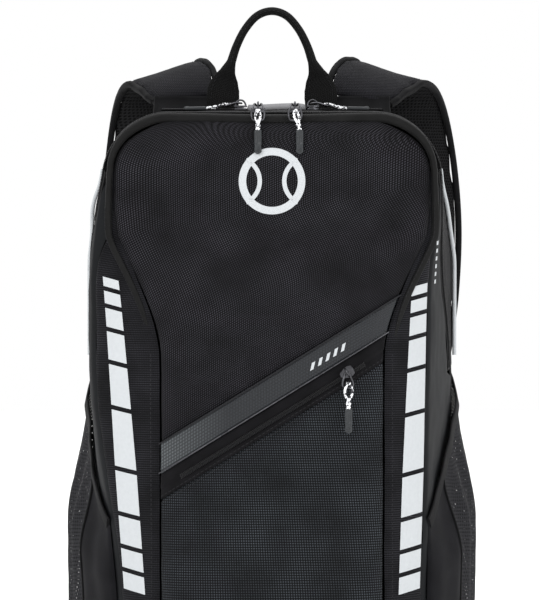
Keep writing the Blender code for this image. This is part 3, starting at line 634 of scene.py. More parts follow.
def join(name, pieces):
    """One object from several meshes, each keeping its materials."""
    bm = bmesh.new()
    materials = []
    for piece in pieces:
        first = len(bm.faces)
        bm.from_mesh(piece.data)
        bm.faces.ensure_lookup_table()
        moved = [v for v in bm.verts if v.tag is False]
        bmesh.ops.transform(bm, matrix=piece.matrix_world, verts=moved)
        for v in bm.verts:
            v.tag = True
        local = []
        for material in piece.data.materials:
            if material not in materials:
                materials.append(material)
            local.append(materials.index(material))
        for face in bm.faces[first:]:
            face.material_index = local[min(face.material_index, len(local) - 1)]
    mesh = to_plain_mesh(name, bm)
    for material in materials:
        mesh.materials.append(material)
    for piece in pieces:
        old = piece.data
        bpy.data.objects.remove(piece)
        bpy.data.meshes.remove(old)
    return put_in_scene(name, mesh)


def stitches(name, line, outs, length=0.0026, gap=0.0012, radius=0.00028, material=None):
    """A row of thread stitches along a line, each a short spindle half sunk in the cloth."""
    distances = distances_along(line)
    points, faces = [], []
    start = gap
    co, normals = np.array(line, float), np.array(outs, float)
    while start + length < distances[-1]:
        ends = []
        for share in (0.0, 0.25, 0.75, 1.0):
            at = start + length * share
            ends.append([np.interp(at, distances, co[:, k]) for k in range(3)])
        out = Vector([np.interp(start, distances, normals[:, k]) for k in range(3)]).normalized()
        along = (Vector(ends[-1]) - Vector(ends[0])).normalized()
        side = along.cross(out)
        base = len(points)
        for end, size, lift in zip(ends, (0.3, 1.0, 1.0, 0.3), (-0.6, 0.35, 0.35, -0.6)):
            for k in range(5):
                angle = 2 * math.pi * k / 5
                points.append(Vector(end) + out * (radius * (lift + size * math.sin(angle)))
                              + side * (radius * size * math.cos(angle)))
        faces += [tuple(base + i for i in face) for face in grid_faces(5, 4, closed=True)]
        faces += [tuple(base + k for k in range(5))[::-1], tuple(base + 15 + k for k in range(5))]
        start += length + gap
    return to_mesh(name, points, faces, material or THREAD)


# ---------------------------------------------------------------- camera and light
CAMERA_PLACE = Vector((-0.0016, -2.290, 0.332))


def build_camera():
    """A long lens straight at the front, a little above the middle of the bag."""
    data = bpy.data.cameras.new("camera")
    data.sensor_width = 36.0
    data.lens = 167.0
    data.clip_start = 0.05
    camera = put_in_scene("camera", data)
    camera.location = CAMERA_PLACE
    camera.rotation_euler = (math.pi / 2, 0, 0)
    bpy.context.scene.camera = camera


def area_light(name, place, target, size, power):
    data = bpy.data.lights.new(name, "AREA")
    data.shape = "RECTANGLE"
    data.size, data.size_y = size
    data.energy = power
    light = put_in_scene(name, data)
    light.location = place
    light.rotation_euler = (Vector(target) - Vector(place)).to_track_quat("-Z", "Y").to_euler()


def build_stage():
    """The floor, the world's even light and three soft lamps."""
    bm = bmesh.new()
    bmesh.ops.create_grid(bm, x_segments=8, y_segments=8, size=6.0)
    mesh = to_plain_mesh("floor", bm)
    mesh.materials.append(FLOOR)
    floor = put_in_scene("floor", mesh)
    floor.location = (0, 0, -0.0005)
    world = bpy.data.worlds.new("studio")
    world.use_nodes = True
    background = world.node_tree.nodes["Background"]
    background.inputs["Color"].default_value = (1.0, 1.0, 1.0, 1.0)
    background.inputs["Strength"].default_value = 1.0
    bpy.context.scene.world = world
    bpy.context.scene.view_settings.view_transform = "Standard"
    area_light("key_light", (-1.3, -2.0, 1.7), (0, 0, 0.28), (1.4, 1.4), 26)
    area_light("fill_light", (1.7, -1.5, 1.0), (0, 0, 0.28), (1.2, 1.6), 13)
    area_light("top_light", (0.0, 0.3, 2.2), (0, 0, 0.3), (1.6, 1.6), 22)


build_camera()
build_stage()


# ---------------------------------------------------------------- the front
def front_surface(low, high, inset=0.0, proud=0.0):
    """surface(u, v) between two heights, each given for a share from -1 to 1."""
    def surface(u, v):
        share = 2 * u - 1
        z = lerp(low(share), high(share), v)
        return Vector((share * (front_half(z) - inset), front_y(share, z) - proud, z))
    return surface


def soft_pad(depth, swell_width=0.035):
    """A relief that swells from a panel's edges to its middle, with a slow unevenness."""
    def relief(grid, along, up):
        side = np.minimum(along, along[:, -1:] - along)
        end = np.minimum(up, up[-1:, :] - up)
        share = np.clip(np.minimum(side, end) / swell_width, 0, 1)
        return depth * (share * (2 - share)) + 0.0006 * crumple(grid, 0.11, 4.0, 2) * share
    return relief


def diagonal_line(middle, reach, proud, count):
    """Points along a diagonal seam, over a share of the front's width."""
    return [on_front(front_half(diagonal_z(middle, s)) * s * reach, diagonal_z(middle, s), proud)
            for s in np.linspace(-1, 1, count)]


def build_front():
    top = front_surface(lambda s: diagonal_z(BAND_TOP_Z, s), lambda s: FRONT_TOP_Z, SEW_IN)
    obj = cloth_panel("upper_front", top, 97, 121, (0, -1, 0), WEAVE, tuck=(1, 1, 0.35, 1), tuck_depth=0.0034,
                      tuck_width=0.0065, relief=soft_pad(0.0014), seed=2.0)
    settle(obj, "bag", "weave", "front_panel")
    low = front_surface(lambda s: FOOT_Z, lambda s: diagonal_z(POCKET_TOP_Z, s) + 0.0006, SEW_IN)
    obj = cloth_panel("pocket_front", low, 97, 97, (0, -1, 0), POCKET_WEAVE, tuck=(1, 1, 1, 0.6),
                      tuck_depth=0.0030, relief=soft_pad(0.0016), seed=5.0)
    settle(obj, "bag", "weave", "pocket_panel")
    tape = front_surface(lambda s: diagonal_z(POCKET_TOP_Z, s) - 0.0004,
                         lambda s: diagonal_z(BAND_LOW_Z, s) + 0.0006, SEW_IN)
    obj = cloth_panel("pocket_zip_cover", tape, 97, 25, (0, -1, 0), PLAIN, tuck=(1, 1, 0.2, 0.4),
                      tuck_width=0.003, relief=zip_cover_relief, ripple=0.0003, seed=7.0)
    settle(obj, "bag", "plain_black", "pocket_zip_tape")
    band = front_surface(lambda s: diagonal_z(BAND_LOW_Z, s) + 0.0002,
                         lambda s: diagonal_z(BAND_TOP_Z, s) + 0.0004, SEW_IN, 0.0016)
    obj = cloth_panel("emboss_band", band, 97, 21, (0, -1, 0), FILM, tuck=(1, 1, 0.5, 0.4), tuck_width=0.003,
                      ripple=0.00015, seed=8.0)
    settle(obj, "bag", "gloss_band", "diagonal_band")
    edges = [cord_tube("edge", diagonal_line(middle, 0.992, 0.0022, 60), 0.0005, material, resolution=1)
             for middle, material in ((BAND_LOW_Z + 0.0010, METAL), (BAND_TOP_Z - 0.0004, THREAD))]
    settle(join("band_edges", edges), "bag", "gloss_band")
    rows = [stitches("row", diagonal_line(middle, 0.985, 0.0019, 80), [FORWARD] * 80)
            for middle in (POCKET_TOP_Z + 0.0022, POCKET_TOP_Z - 0.0030)]
    settle(join("pocket_zip_stitching", rows), "bag", "plain_black")


def zip_cover_relief(_grid, _along, up):
    """The zip's cover: flat tape with a raised folded edge lying over the coil."""
    share = up / np.maximum(1e-6, up[-1:, :])
    fold = np.exp(-((share - 0.50) / 0.10) ** 2) * 0.0006
    return fold - 0.0006 * np.exp(-((share - 0.36) / 0.06) ** 2)


# ---------------------------------------------------------------- facets, roll and the side shell
def facet_surface(side):
    """surface(u, v) from the front panel's edge to the side wall's."""
    def surface(u, v):
        z = lerp(FOOT_Z, 0.4345, v)
        inner = Vector(((front_half(z) + 0.0004) * side, front_edge_y(z) + 0.0004, z))
        outer = Vector(((half_width(EDGE_CONTOUR, z) - 0.0004) * side, Y_EDGE - 0.0006, z))
        return inner.lerp(outer, u)
    return surface


def facet_relief(grid, along, _up):
    """A shallow swell that dies away where the facet is narrow."""
    width = np.maximum(1e-6, along[:, -1:])
    share = along / width
    return (0.0020 * np.sin(np.pi * np.clip(share, 0, 1)) * np.clip(width / 0.02, 0, 1)
            + 0.0003 * crumple(grid, 0.03, 3.0))


def build_facets():
    for side, end in SIDES:
        obj = cloth_panel("ribbed_facet_" + end, facet_surface(side), 17, 121, (side, -1, 0), RIBBED,
                          tuck=(1, 1, 1, 0), tuck_depth=0.0022, tuck_width=0.004, relief=facet_relief,
                          seed=3.0 + side)
        settle(obj, "bag", "ribbed", "facet_" + end)
        line, outs = [], []
        for i in range(120):
            z = lerp(0.012, 0.292, i / 119)
            line.append(Vector(((front_half(z) + 0.0052) * side, front_edge_y(z) - 0.0002, z)))
            outs.append(Vector((side * 0.35, -1, 0)))
        settle(stitches("facet_stitching_" + end, line, outs), "bag", "ribbed")


def shoulder(z):
    """How far the front panel's edge stands out past its seam near the top corners."""
    return 0.0060 * smooth(0.330, 0.420, z) * (1 - smooth(0.455, 0.482, z))


ROLL_TOP_SHARE = 0.6


def roll_place(u):
    """The front roll at u from -1 to 1: centre, outward direction, width, thickness and roundness.
    Past the corners it flattens into a band that lies beside the front panel down to the waist."""
    side = 1 if u >= 0 else -1
    if abs(u) <= ROLL_TOP_SHARE:
        point, out = arch_point(Y_EDGE - 0.0052, u / ROLL_TOP_SHARE)
        sag = 0.0016 * math.cos(min(1.0, abs(u) / 0.42) * math.pi / 2) ** 2
        corner = smooth(0.38, ROLL_TOP_SHARE, abs(u))
        centre = point + out * lerp(-0.0020, 0.0024, corner) - Vector((0, 0, sag))
        return centre, FORWARD, lerp(0.0078, 0.0052, corner), 0.0076, 2.2
    t = (abs(u) - ROLL_TOP_SHARE) / (1 - ROLL_TOP_SHARE)
    z, flat = lerp(CORNER_Z, 0.288, t), smooth(0.0, 0.5, t)
    x = lerp(half_width(EDGE_CONTOUR, z) + 0.0024, front_half(z) + shoulder(z) + 0.0050, flat)
    y = lerp(Y_EDGE - 0.0052, lerp(front_edge_y(z), Y_EDGE, 0.20) - 0.0012, flat)
    out = FORWARD.lerp(Vector((side * 0.50, -0.86, 0)), flat).normalized()
    width = lerp(0.0052, 0.0054, flat) * (1 - 0.80 * smooth(0.70, 1.0, t))
    thickness = lerp(0.0076, 0.0026, flat) * (1 - 0.5 * smooth(0.8, 1, t))
    return Vector((x * side, y, z)), out, width, thickness, lerp(2.2, 3.6, flat)


def build_roll():
    places = [roll_place(u) for u in np.linspace(-1, 1, 241)]
    centres, outs = [p[0] for p in places], [p[1] for p in places]
    across = [line.cross(out).normalized() for line, out in zip(tangents(centres), outs)]
    obj = sweep("front_roll", centres, across, outs, lambda i, _: oval(*places[i][2:]), SATIN_ROLL)
    settle(obj, "bag", "plain_black", "front_piping")
    rows = []
    for hand, indices in ((-1, range(4, 40)), (1, range(200, 236))):
        line = [centres[i] + across[i] * (places[i][2] * 0.36 * hand) + outs[i] * (places[i][3] * 0.44)
                for i in indices]
        rows.append(stitches("row", line, [outs[i] for i in indices]))
    settle(join("front_roll_stitching", rows), "bag", "plain_black")


def shell_path(front_share, rear_share, low_z):
    """A panel that runs up one side wall, over the top and down the other, between two shares."""
    def surface(u, v):
        corner = 0.5 * math.pi * 0.05 + 0.085
        total = CORNER_Z - low_z + corner
        length = abs(2 * v - 1) * total
        side = 1 if v >= 0.5 else -1
        if length > corner:
            z = CORNER_Z - (length - corner)
            share = lerp(front_share(z), rear_share(z), u)
            y = lerp(Y_EDGE, Y_REAR, share)
            return Vector((wall_x(y, z) * side, y, z))
        share = lerp(front_share(CORNER_Z), rear_share(CORNER_Z), u)
        return arch_point(lerp(Y_EDGE, Y_REAR, share), side * length / corner)[0]
    return surface


def build_side_shell():
    for side, end in SIDES:
        def surface(u, v):
            z = lerp(FOOT_Z, CORNER_Z, v)
            rear = 0.985 if z < MAIN_ZIP_END_Z else zip_share(z) - 0.018
            y = lerp(Y_EDGE, Y_REAR, lerp(0.004, max(0.006, rear), u))
            return Vector((wall_x(y, z) * side, y, z))
        obj = cloth_panel("coated_wall_" + end, surface, 41, 121, (side, 0, 0), COATED, tuck=(1, 1, 1, 0),
                          tuck_depth=0.0020, relief=soft_pad(0.0012, 0.02), ripple=0.0007, seed=9.0 + side)
        settle(obj, "bag", "coated", "side_panel_" + end)
    rear = shell_path(lambda z: zip_share(z) + 0.018, lambda z: 0.988, MAIN_ZIP_END_Z + 0.003)
    obj = cloth_panel("rear_shell", rear, 31, 241, (0, 0, 1), PLAIN, tuck=(0.7, 1, 1, 1), tuck_depth=0.0022,
                      relief=soft_pad(0.0010, 0.02), ripple=0.0008, seed=12.0)
    settle(obj, "bag", "plain_black", "rear_gusset_left", "rear_gusset_right", "top_gusset")


def racket_surface(u, v):
    """The racket compartment's wall: up one side, over the top and down the other."""
    corner = 0.5 * math.pi * 0.055 + 0.082
    total = CORNER_Z - FOOT_Z + corner
    length, side = abs(2 * v - 1) * total, (1 if v >= 0.5 else -1)
    y = lerp(Y_REAR, Y_BACK, lerp(0.012, 0.988, u))
    if length > corner:
        z = CORNER_Z - (length - corner)
        return Vector((wall_x(y, z) * side, y, z))
    return arch_point(y, side * length / corner)[0]


SLOT_X, SLOT_Y, SLOT_HALF = 0.0040, 0.06306, (0.0235, 0.0125)
SLOT_POINTS = 64
# The lining's rings: height, and how far each stands outside the slot's outline.
LINING_RINGS = ((0.4922, 0.0012), (0.4952, 0.0008), (0.4968, 0.0002), (0.4966, -0.0008), (0.4900, -0.0010),
                (0.4780, -0.0004))


def slot_point(k, z, grow=0.0):
    """Point k of SLOT_POINTS on the racket slot's oval outline."""
    angle = 2 * math.pi * k / SLOT_POINTS
    return Vector((SLOT_X + (SLOT_HALF[0] + grow) * math.cos(angle),
                   SLOT_Y + (SLOT_HALF[1] + grow) * math.sin(angle), z))


def build_racket_shell():
    obj = cloth_panel("racket_shell", racket_surface, 25, 321, (0, 0, 1), PLAIN, tuck=(1, 1, 1, 1),
                      tuck_depth=0.0018, relief=soft_pad(0.0008, 0.012), ripple=0.0007, seed=15.0)
    cutter = slot_cutter()
    add_modifier(obj, "BOOLEAN", object=cutter, operation="DIFFERENCE", solver="EXACT")
    bake(obj)
    bpy.data.objects.remove(cutter)
    settle(obj, "bag", "plain_black", "racket_gusset_left", "racket_gusset_right", "racket_gusset_top")
    rows = len(LINING_RINGS)
    points = [slot_point(k, z - 0.0006 * math.sin(4 * math.pi * k / SLOT_POINTS), grow)
              for z, grow in LINING_RINGS for k in range(SLOT_POINTS)]
    uvs = [(k * 0.0018, j * 0.004) for j in range(rows) for k in range(SLOT_POINTS)]
    lining = to_mesh("slot_lining", points, grid_faces(SLOT_POINTS, rows, closed=True), SILVER, uvs, sharp=80)
    add_modifier(lining, "SOLIDIFY", thickness=0.0007, offset=0)
    settle(bake(lining), "bag", "plain_black")


def slot_cutter():
    """A tall elliptical block the size of the racket slot."""
    bm = bmesh.new()
    low, high = [[bm.verts.new(slot_point(k, z)) for k in range(SLOT_POINTS)] for z in (0.47, 0.52)]
    for k in range(SLOT_POINTS):
        after = (k + 1) % SLOT_POINTS
        bm.faces.new((low[k], low[after], high[after], high[k]))
    bm.faces.new(low[::-1])
    bm.faces.new(high)
    return put_in_scene("slot_cutter", to_plain_mesh("slot_cutter", bm))


build_front()
build_facets()
build_roll()
build_side_shell()
build_racket_shell()


# ---------------------------------------------------------------- side pockets and white piping
POCKET_Y = (-0.056, 0.076)
POCKET_RIM = (0.155, 0.276)


def pocket_surface(side, proud=0.0):
    """The pocket's stretch cloth. u runs from its front seam to its rear one, v up to the rim."""
    def surface(u, v):
        y = lerp(*POCKET_Y, u)
        z = lerp(FLOOR_GAP + 0.002, lerp(*POCKET_RIM, u) + 0.004 * math.sin(math.pi * u), v)
        swell = 0.62 + 0.38 * smooth(0, 0.22, v) - 0.84 * smooth(0.62, 1.0, v)
        foot = smooth(0.0, 0.035, v)
        folds = 0.0016 * math.sin(u * 31 + 0.8 * math.sin(v * 4)) * smooth(0.0, 0.3, v)
        folds *= math.sin(math.pi * u)
        folds *= 1 - 0.8 * smooth(0.75, 1.0, v)
        out = 0.0008 + proud + (0.0215 * swell * foot * math.sin(math.pi * u) ** 0.55) + folds
        return Vector(((wall_x(y, z) + out) * side, y, z))
    return surface


def build_side_pockets():
    for side, end in SIDES:
        surface = pocket_surface(side, 0.0014)
        mesh_part = cloth_panel("mesh_pocket_" + end, lambda u, v: surface(lerp(0.27, 1.0, u), v), 61, 81,
                                (side, 0, 0), POCKET_MESH, tuck=(0, 1, 1, 0), tuck_depth=0.0012,
                                ripple=0.0006, seed=20.0 + side)
        solid_part = cloth_panel("stretch_panel_" + end, lambda u, v: surface(lerp(0.0, 0.275, u), v), 61, 81,
                                 (side, 0, 0), STRETCH, tuck=(1, 0, 1, 0), tuck_depth=0.0012,
                                 ripple=0.0006, seed=20.0 + side)
        settle(mesh_part, "bag", "mesh", "side_pocket_" + end)
        settle(solid_part, "bag", "mesh")
        line = [surface(u, 0.985) for u in np.linspace(0.0, 1.0, 70)]
        outs = [Vector((side, -0.2, 0.1)).normalized() for _ in line]
        across = [way.cross(out).normalized() for way, out in zip(tangents(line), outs)]
        rim = sweep("pocket_rim_" + end, line, across, outs, ribbon(0.0122, 0.0024, 3.0, 20), ELASTIC)
        settle(rim, "bag", "mesh")
        seam = [surface(0.272, v) + Vector((side * 0.0004, 0, 0)) for v in np.linspace(0.0, 0.97, 60)]
        settle(cord_tube("pocket_seam_" + end, seam, 0.0011, BINDING), "bag", "mesh")


def build_white_piping():
    for side, end in SIDES:
        line = []
        for i in range(50):
            z = lerp(0.286, CORNER_Z + 0.006, i / 49)
            line.append(Vector(((half_width(REAR_CONTOUR, z) + 0.0021) * side, Y_REAR, z)))
        piping = cord_tube("white_edge_" + end, line, 0.0017, WHITE_PIPING, resolution=4)
        settle(piping, "bag", "white", "white_piping_" + end)


# ---------------------------------------------------------------- back and base
def build_back():
    height = BACK_CONTOUR[3]

    def surface(u, v):
        share, z = 2 * u - 1, lerp(FLOOR_GAP - 0.0005, height - 0.0006, v)
        x = share * (half_width(BACK_CONTOUR, z) - 0.0006)
        edge = min(1.0, min(1 - abs(share), (height - z) / 0.14, (z - FLOOR_GAP) / 0.14) / 0.10)
        return Vector((x, BACK_FACE_Y - 0.0022 + 0.0030 * math.sqrt(max(0.0, edge * (2 - edge))), z))
    obj = cloth_panel("back_cloth", surface, 81, 121, (0, 1, 0), BACK_CLOTH, ripple=0.0005, seed=30.0)
    edge = back_binding()
    settle(obj, "bag", "plain_black", "back_panel")
    settle(edge, "bag", "plain_black")


def back_binding():
    """The bound seam all round the back panel."""
    line = []
    for i in range(160):
        u = lerp(-1, 1, i / 159)
        if abs(u) < TOP_SHARE:
            line.append(arch_point(Y_BACK, u / TOP_SHARE, -0.0002)[0])
        else:
            z = lerp(CORNER_Z, FLOOR_GAP, (abs(u) - TOP_SHARE) / (1 - TOP_SHARE))
            line.append(Vector(((half_width(BACK_CONTOUR, z) - 0.0002) * (1 if u > 0 else -1), Y_BACK, z)))
    line = [p + Vector((0, 0.0020, 0)) for p in line]
    return cord_tube("back_binding", line, 0.0017, BINDING)


def build_back_pads():
    half_w, half_h, radius, channels = 0.047, 0.165, 0.022, (-0.082, 0.0, 0.082)
    for side, end in SIDES:
        centre = Vector((0.063 * side, BACK_FACE_Y + 0.0002, 0.235))

        def surface(u, v):
            a, b = 2 * u - 1, 2 * v - 1
            x, z = half_w * a, half_h * b
            over_x, over_z = max(0.0, abs(x) - (half_w - radius)), max(0.0, abs(z) - (half_h - radius))
            reach = math.hypot(over_x, over_z)
            if reach > 0:
                factor = max(over_x, over_z) / reach
                x = math.copysign(min(abs(x), half_w - radius) + over_x * factor, x)
                z = math.copysign(min(abs(z), half_h - radius) + over_z * factor, z)
            rim = min(1.0, max(0.0, 1 - max(abs(a), abs(b))) / 0.16)
            crown = math.sqrt(rim * (2 - rim))
            channel = sum(math.exp(-((z - c) / 0.0032) ** 2) for c in channels)
            return centre + Vector((x, 0.0092 * crown * (1 - 0.55 * channel * rim), z))
        obj = cloth_panel("air_mesh_pad_" + end, surface, 61, 161, (0, 1, 0), PAD_MESH, tuck=(0, 0, 0, 0),
                          ripple=0.0004, seed=33.0 + side)
        settle(obj, "bag", "mesh", "back_pad_" + end)
        outline = []
        for k in range(120):
            angle = 2 * math.pi * k / 120
            c, s = math.cos(angle), math.sin(angle)
            corner = Vector((math.copysign(half_w - radius, c), 0, math.copysign(half_h - radius, s)))
            grow = Vector((c * radius, 0, s * radius))
            outline.append(centre + corner + grow + Vector((0, 0.0005, 0)))
        settle(cord_tube("pad_binding_" + end, outline, 0.0013, BINDING, cyclic=True), "bag", "mesh")
        rows = []
        for c in channels:
            line = [surface(u, (c / half_h + 1) / 2) + Vector((0, 0.0004, 0))
                    for u in np.linspace(0.08, 0.92, 50)]
            rows.append(stitches("row", line, [BACK] * 50))
        settle(join("pad_stitching_" + end, rows), "bag", "mesh")


def build_base():
    half = [(0, -0.0985), (0.045, -0.0985), (0.0885, -0.0955), (0.1165, -0.0625), (0.1480, Y_REAR),
            (0.1450, Y_BACK), (0.135, 0.0955), (0.06, 0.0965), (0, 0.0965)]
    outline = half + [(-x, y) for x, y in half[-2:0:-1]]
    rings, columns = [], len(outline)
    for inset, z in ((0.0, 0.0090), (0.0, 0.0062), (0.0008, 0.0035), (0.0030, 0.0012), (0.0065, 0.0)):
        rings.append([Vector((x * (1 - inset / 0.14), y * (1 - inset / 0.10), z)) for x, y in outline])
    points = [p for ring in rings for p in ring]
    underside = tuple(range((len(rings) - 1) * columns, len(rings) * columns))
    faces = grid_faces(columns, len(rings), closed=True) + [tuple(range(columns)), underside]
    obj = to_mesh("base_cloth", points, faces, BASE_CLOTH, sharp=60)
    settle(obj, "bag", "plain_black", "base_panel")
    line = [Vector((x, y, 0.0086)) for x, y in outline]
    settle(cord_tube("base_piping", line, 0.0016, BINDING, cyclic=True), "bag", "plain_black")


build_side_pockets()
build_white_piping()
build_back()
build_back_pads()
build_base()
for inside in ("divider", "pocket_back_wall"):
    set_material(frame["nodes"][inside], INSIDE_CLOTH)


# ---------------------------------------------------------------- zips
def coil(name, line, outs, gap=0.00085, radius=0.00075, pitch=0.00135, wire=0.00032):
    """The two halves of a coil zip along a line, as flattened helices."""
    distances = distances_along(line)
    co, normals, along = np.array(line, float), np.array(outs, float), np.array(tangents(line), float)
    turns = int(distances[-1] / pitch)
    halves = []
    for hand in (-1, 1):
        points = []
        for k in range(turns * 6):
            at = k / 6 * pitch
            here, out, way = [Vector([np.interp(at, distances, a[:, i]) for i in range(3)])
                              for a in (co, normals, along)]
            side = way.cross(out).normalized()
            angle = 2 * math.pi * k / 6 + (0 if hand > 0 else math.pi / 2)
            points.append(here + side * hand * (gap + radius * 1.3 * math.cos(angle))
                          + out.normalized() * (0.0009 + radius * math.sin(angle)))
        halves.append(cord_tube(f"half_{hand}", points, wire, TEETH, resolution=0))
    return join(name, halves)


def main_zip_line():
    """The main zip's points and outward directions: up one side, over the top and down the other."""
    line, outs = [], []
    for i in range(261):
        u = lerp(-1, 1, i / 260)
        side = 1 if u >= 0 else -1
        if abs(u) < TOP_SHARE:
            point, out = arch_point(lerp(Y_EDGE, Y_REAR, TOP_ZIP_SHARE), u / TOP_SHARE, 0.0004)
        else:
            z = lerp(CORNER_Z, MAIN_ZIP_END_Z + 0.004, (abs(u) - TOP_SHARE) / (1 - TOP_SHARE))
            y = lerp(Y_EDGE, Y_REAR, zip_share(z))
            point, out = Vector(((wall_x(y, z) + 0.0004) * side, y, z)), Vector((0.97 * side, -0.24, 0))
        line.append(point)
        outs.append(out.normalized())
    return line, outs


def tape(name, line, outs, width, material, lift=0.0001):
    """A flat tape along a line, under its coil."""
    across = [way.cross(out).normalized() for way, out in zip(tangents(line), outs)]
    centres = [p + out * lift for p, out in zip(line, outs)]
    return sweep(name, centres, across, outs, ribbon(width, 0.0006, 6.0, 8), material)


RACKET_ZIP_Y = lerp(Y_REAR, Y_BACK, RACKET_ZIP_SHARE)
RACKET_ZIP_Z = lerp(REAR_CONTOUR[3], BACK_CONTOUR[3], RACKET_ZIP_SHARE) + 0.0004
RACKET_ZIP_REACH, POCKET_ZIP_X = 0.094, (-0.072, 0.074)
POCKET_ZIP_MIDDLE_Z = (BAND_LOW_Z + POCKET_TOP_Z) / 2
ALONG_POCKET = Vector((1, 0, DIAGONAL_SLOPE)).normalized()
POCKET_ZIP_Y = front_y(0, POCKET_ZIP_MIDDLE_Z) - 0.0004


def build_zips():
    line, outs = main_zip_line()
    settle(coil("main_zip_coil", line, outs), "bag", "plastic", "main_zip_chain")
    settle(tape("main_zip_tape", line, outs, 0.0110, BINDING), "bag", "plastic")
    for side, end in SIDES:
        ends = (SLOT_X + side * (SLOT_HALF[0] + 0.001), side * RACKET_ZIP_REACH)
        line = [Vector((lerp(*ends, t), RACKET_ZIP_Y, RACKET_ZIP_Z + 0.0006)) for t in np.linspace(0, 1, 12)]
        settle(coil("racket_zip_coil_" + end, line, [UP] * 12), "bag", "plastic", "racket_zip_chain_" + end)
        settle(tape("racket_zip_tape_" + end, line, [UP] * 12, 0.0140, BINDING), "bag", "plastic")
    line = [Vector((x, POCKET_ZIP_Y - 0.0006, POCKET_ZIP_MIDDLE_Z + DIAGONAL_SLOPE * x - 0.0020))
            for x in np.linspace(*POCKET_ZIP_X, 12)]
    settle(coil("pocket_zip_coil", line, [FORWARD] * 12), "bag", "plastic", "pocket_zip_chain")


def slider(name, body, node, foot, along, out, bridge_across):
    """A cast slider: shouldered top plate, crown bridge and a rolled under-plate."""
    across = out.cross(along)
    turned = Matrix((along, across, out)).transposed().to_4x4()
    place = Matrix.Translation(foot + out * 0.0020) @ turned
    half = [(0.0056, 0.0012), (0.0050, 0.0034), (0.0026, 0.0044), (-0.0010, 0.0040), (-0.0036, 0.0028),
            (-0.0054, 0.0024), (-0.0058, 0.0010)]
    outline = half + [(x, -y) for x, y in half[::-1]]
    parts = []
    for low, high, shrink in ((0.0014, 0.0026, 1.0), (-0.0008, 0.0004, 0.92), (0.0, 0.0016, 0.5)):
        bm = bmesh.new()
        face = bm.faces.new([bm.verts.new((x * shrink, y * shrink, low)) for x, y in outline])
        made = bmesh.ops.extrude_face_region(bm, geom=[face])
        bmesh.ops.translate(bm, vec=(0, 0, high - low),
                            verts=[v for v in made["geom"] if isinstance(v, bmesh.types.BMVert)])
        bmesh.ops.recalc_face_normals(bm, faces=bm.faces)
        bmesh.ops.bevel(bm, geom=[e for e in bm.edges if e.calc_face_angle(0) > 1.0], offset=0.0003,
                        segments=2, affect="EDGES")
        mesh = to_plain_mesh("plate", bm)
        mesh.materials.append(METAL)
        parts.append(put_in_scene("plate", mesh))
    arch_line = []
    for i in range(13):
        angle = math.pi * i / 12
        reach = -math.cos(angle) * (0.0033 if bridge_across else 0.0044)
        height = 0.0022 + math.sin(angle) * 0.0052
        arch_line.append(Vector((0, reach, height) if bridge_across else (reach, 0, height)))
    parts.append(cord_tube("bridge", arch_line, 0.0008, METAL))
    for part in parts:
        part.data.transform(place)
    settle(join(name, parts), body, "zip_metal", node)
    return foot + out * 0.0067


def wire_bail(name, centres, side, half_widths, wire=0.0008):
    """A closed wire ring that follows a path of centre points, its width given at each."""
    left = [c - side * w for c, w in zip(centres, half_widths)]
    right = [c + side * w for c, w in zip(centres, half_widths)]
    knots = left + right[::-1]
    return cord_tube(name, smooth_line(knots + [knots[0]], 90)[:-1], wire, METAL, cyclic=True)


def twisted_loop(name, path, side, out, spread, radius=0.00105):
    """Two strands of flecked cord along a path: open by spread where it is wide, twisted below."""
    ends = []
    count = len(path)
    for hand in (-1, 1):
        strand = []
        for i, centre in enumerate(path):
            t = i / (count - 1)
            gape = spread * math.sin(math.pi * min(1.0, t / 0.62)) ** 0.8 if t < 0.62 else 0.0
            twist = hand * (2.2 * math.pi * max(0.0, t - 0.55) / 0.45)
            offset = max(gape, radius * 0.9)
            strand.append(centre + side * hand * offset * abs(math.cos(twist))
                          + out * radius * 0.7 * math.sin(twist))
        ends.append(strand)
    return cord_tube(name, ends[0] + ends[1][::-1], radius, CORD, cyclic=True)


def grip_tab(name, start, down, side, out, length=0.0200, width=0.0060):
    """A moulded grip: slim, rounded, with a recess on its face and an eye at its end."""
    centres = [start + down * (length * t) for t in np.linspace(0, 1, 17)]

    def profile(_, t):
        cap = math.sqrt(max(0.0, 1 - max(0.0, (0.07 - t) / 0.07, (t - 0.88) / 0.12) ** 2))
        waist = 1.0 - 0.10 * math.exp(-((t - 0.70) / 0.06) ** 2)
        ring = oval(width * waist * max(0.25, cap), 0.0034 * max(0.35, cap), 4.0, 20)
        dent = 0.0009 * (1 if 0.2 < t < 0.62 else 0)
        return [(a, b - dent * (1 if b > 0 and abs(a) < width * 0.28 else 0)) for a, b in ring]
    grip = sweep(name, centres, [side] * 17, [out] * 17, profile, TAB_RUBBER)
    eye = start + down * (length * 0.86) + out * 0.0017
    turns = [2 * math.pi * k / 20 for k in range(20)]
    ring = [eye + side * (0.0014 * math.cos(a)) + down * (0.0014 * math.sin(a)) for a in turns]
    return join(name, [grip, cord_tube("eye", ring, 0.00045, TAB_RUBBER, cyclic=True)])


def pull(body, bail_path, bail_widths, cord_path, spread_width, down, side, out):
    """A puller on its own body: the wire bail, the cord tied through it and the grip at its end."""
    settle(wire_bail(body + "_ring", bail_path, side, bail_widths), body, "zip_metal", body + "_bail")
    settle(twisted_loop(body + "_loop", smooth_line(cord_path, 40), side, out, spread_width), body, "cord",
           body + "_cord")
    settle(grip_tab(body + "_grip", cord_path[-1] - down * 0.0012, down, side, out), body, "tab",
           body + "_tab")


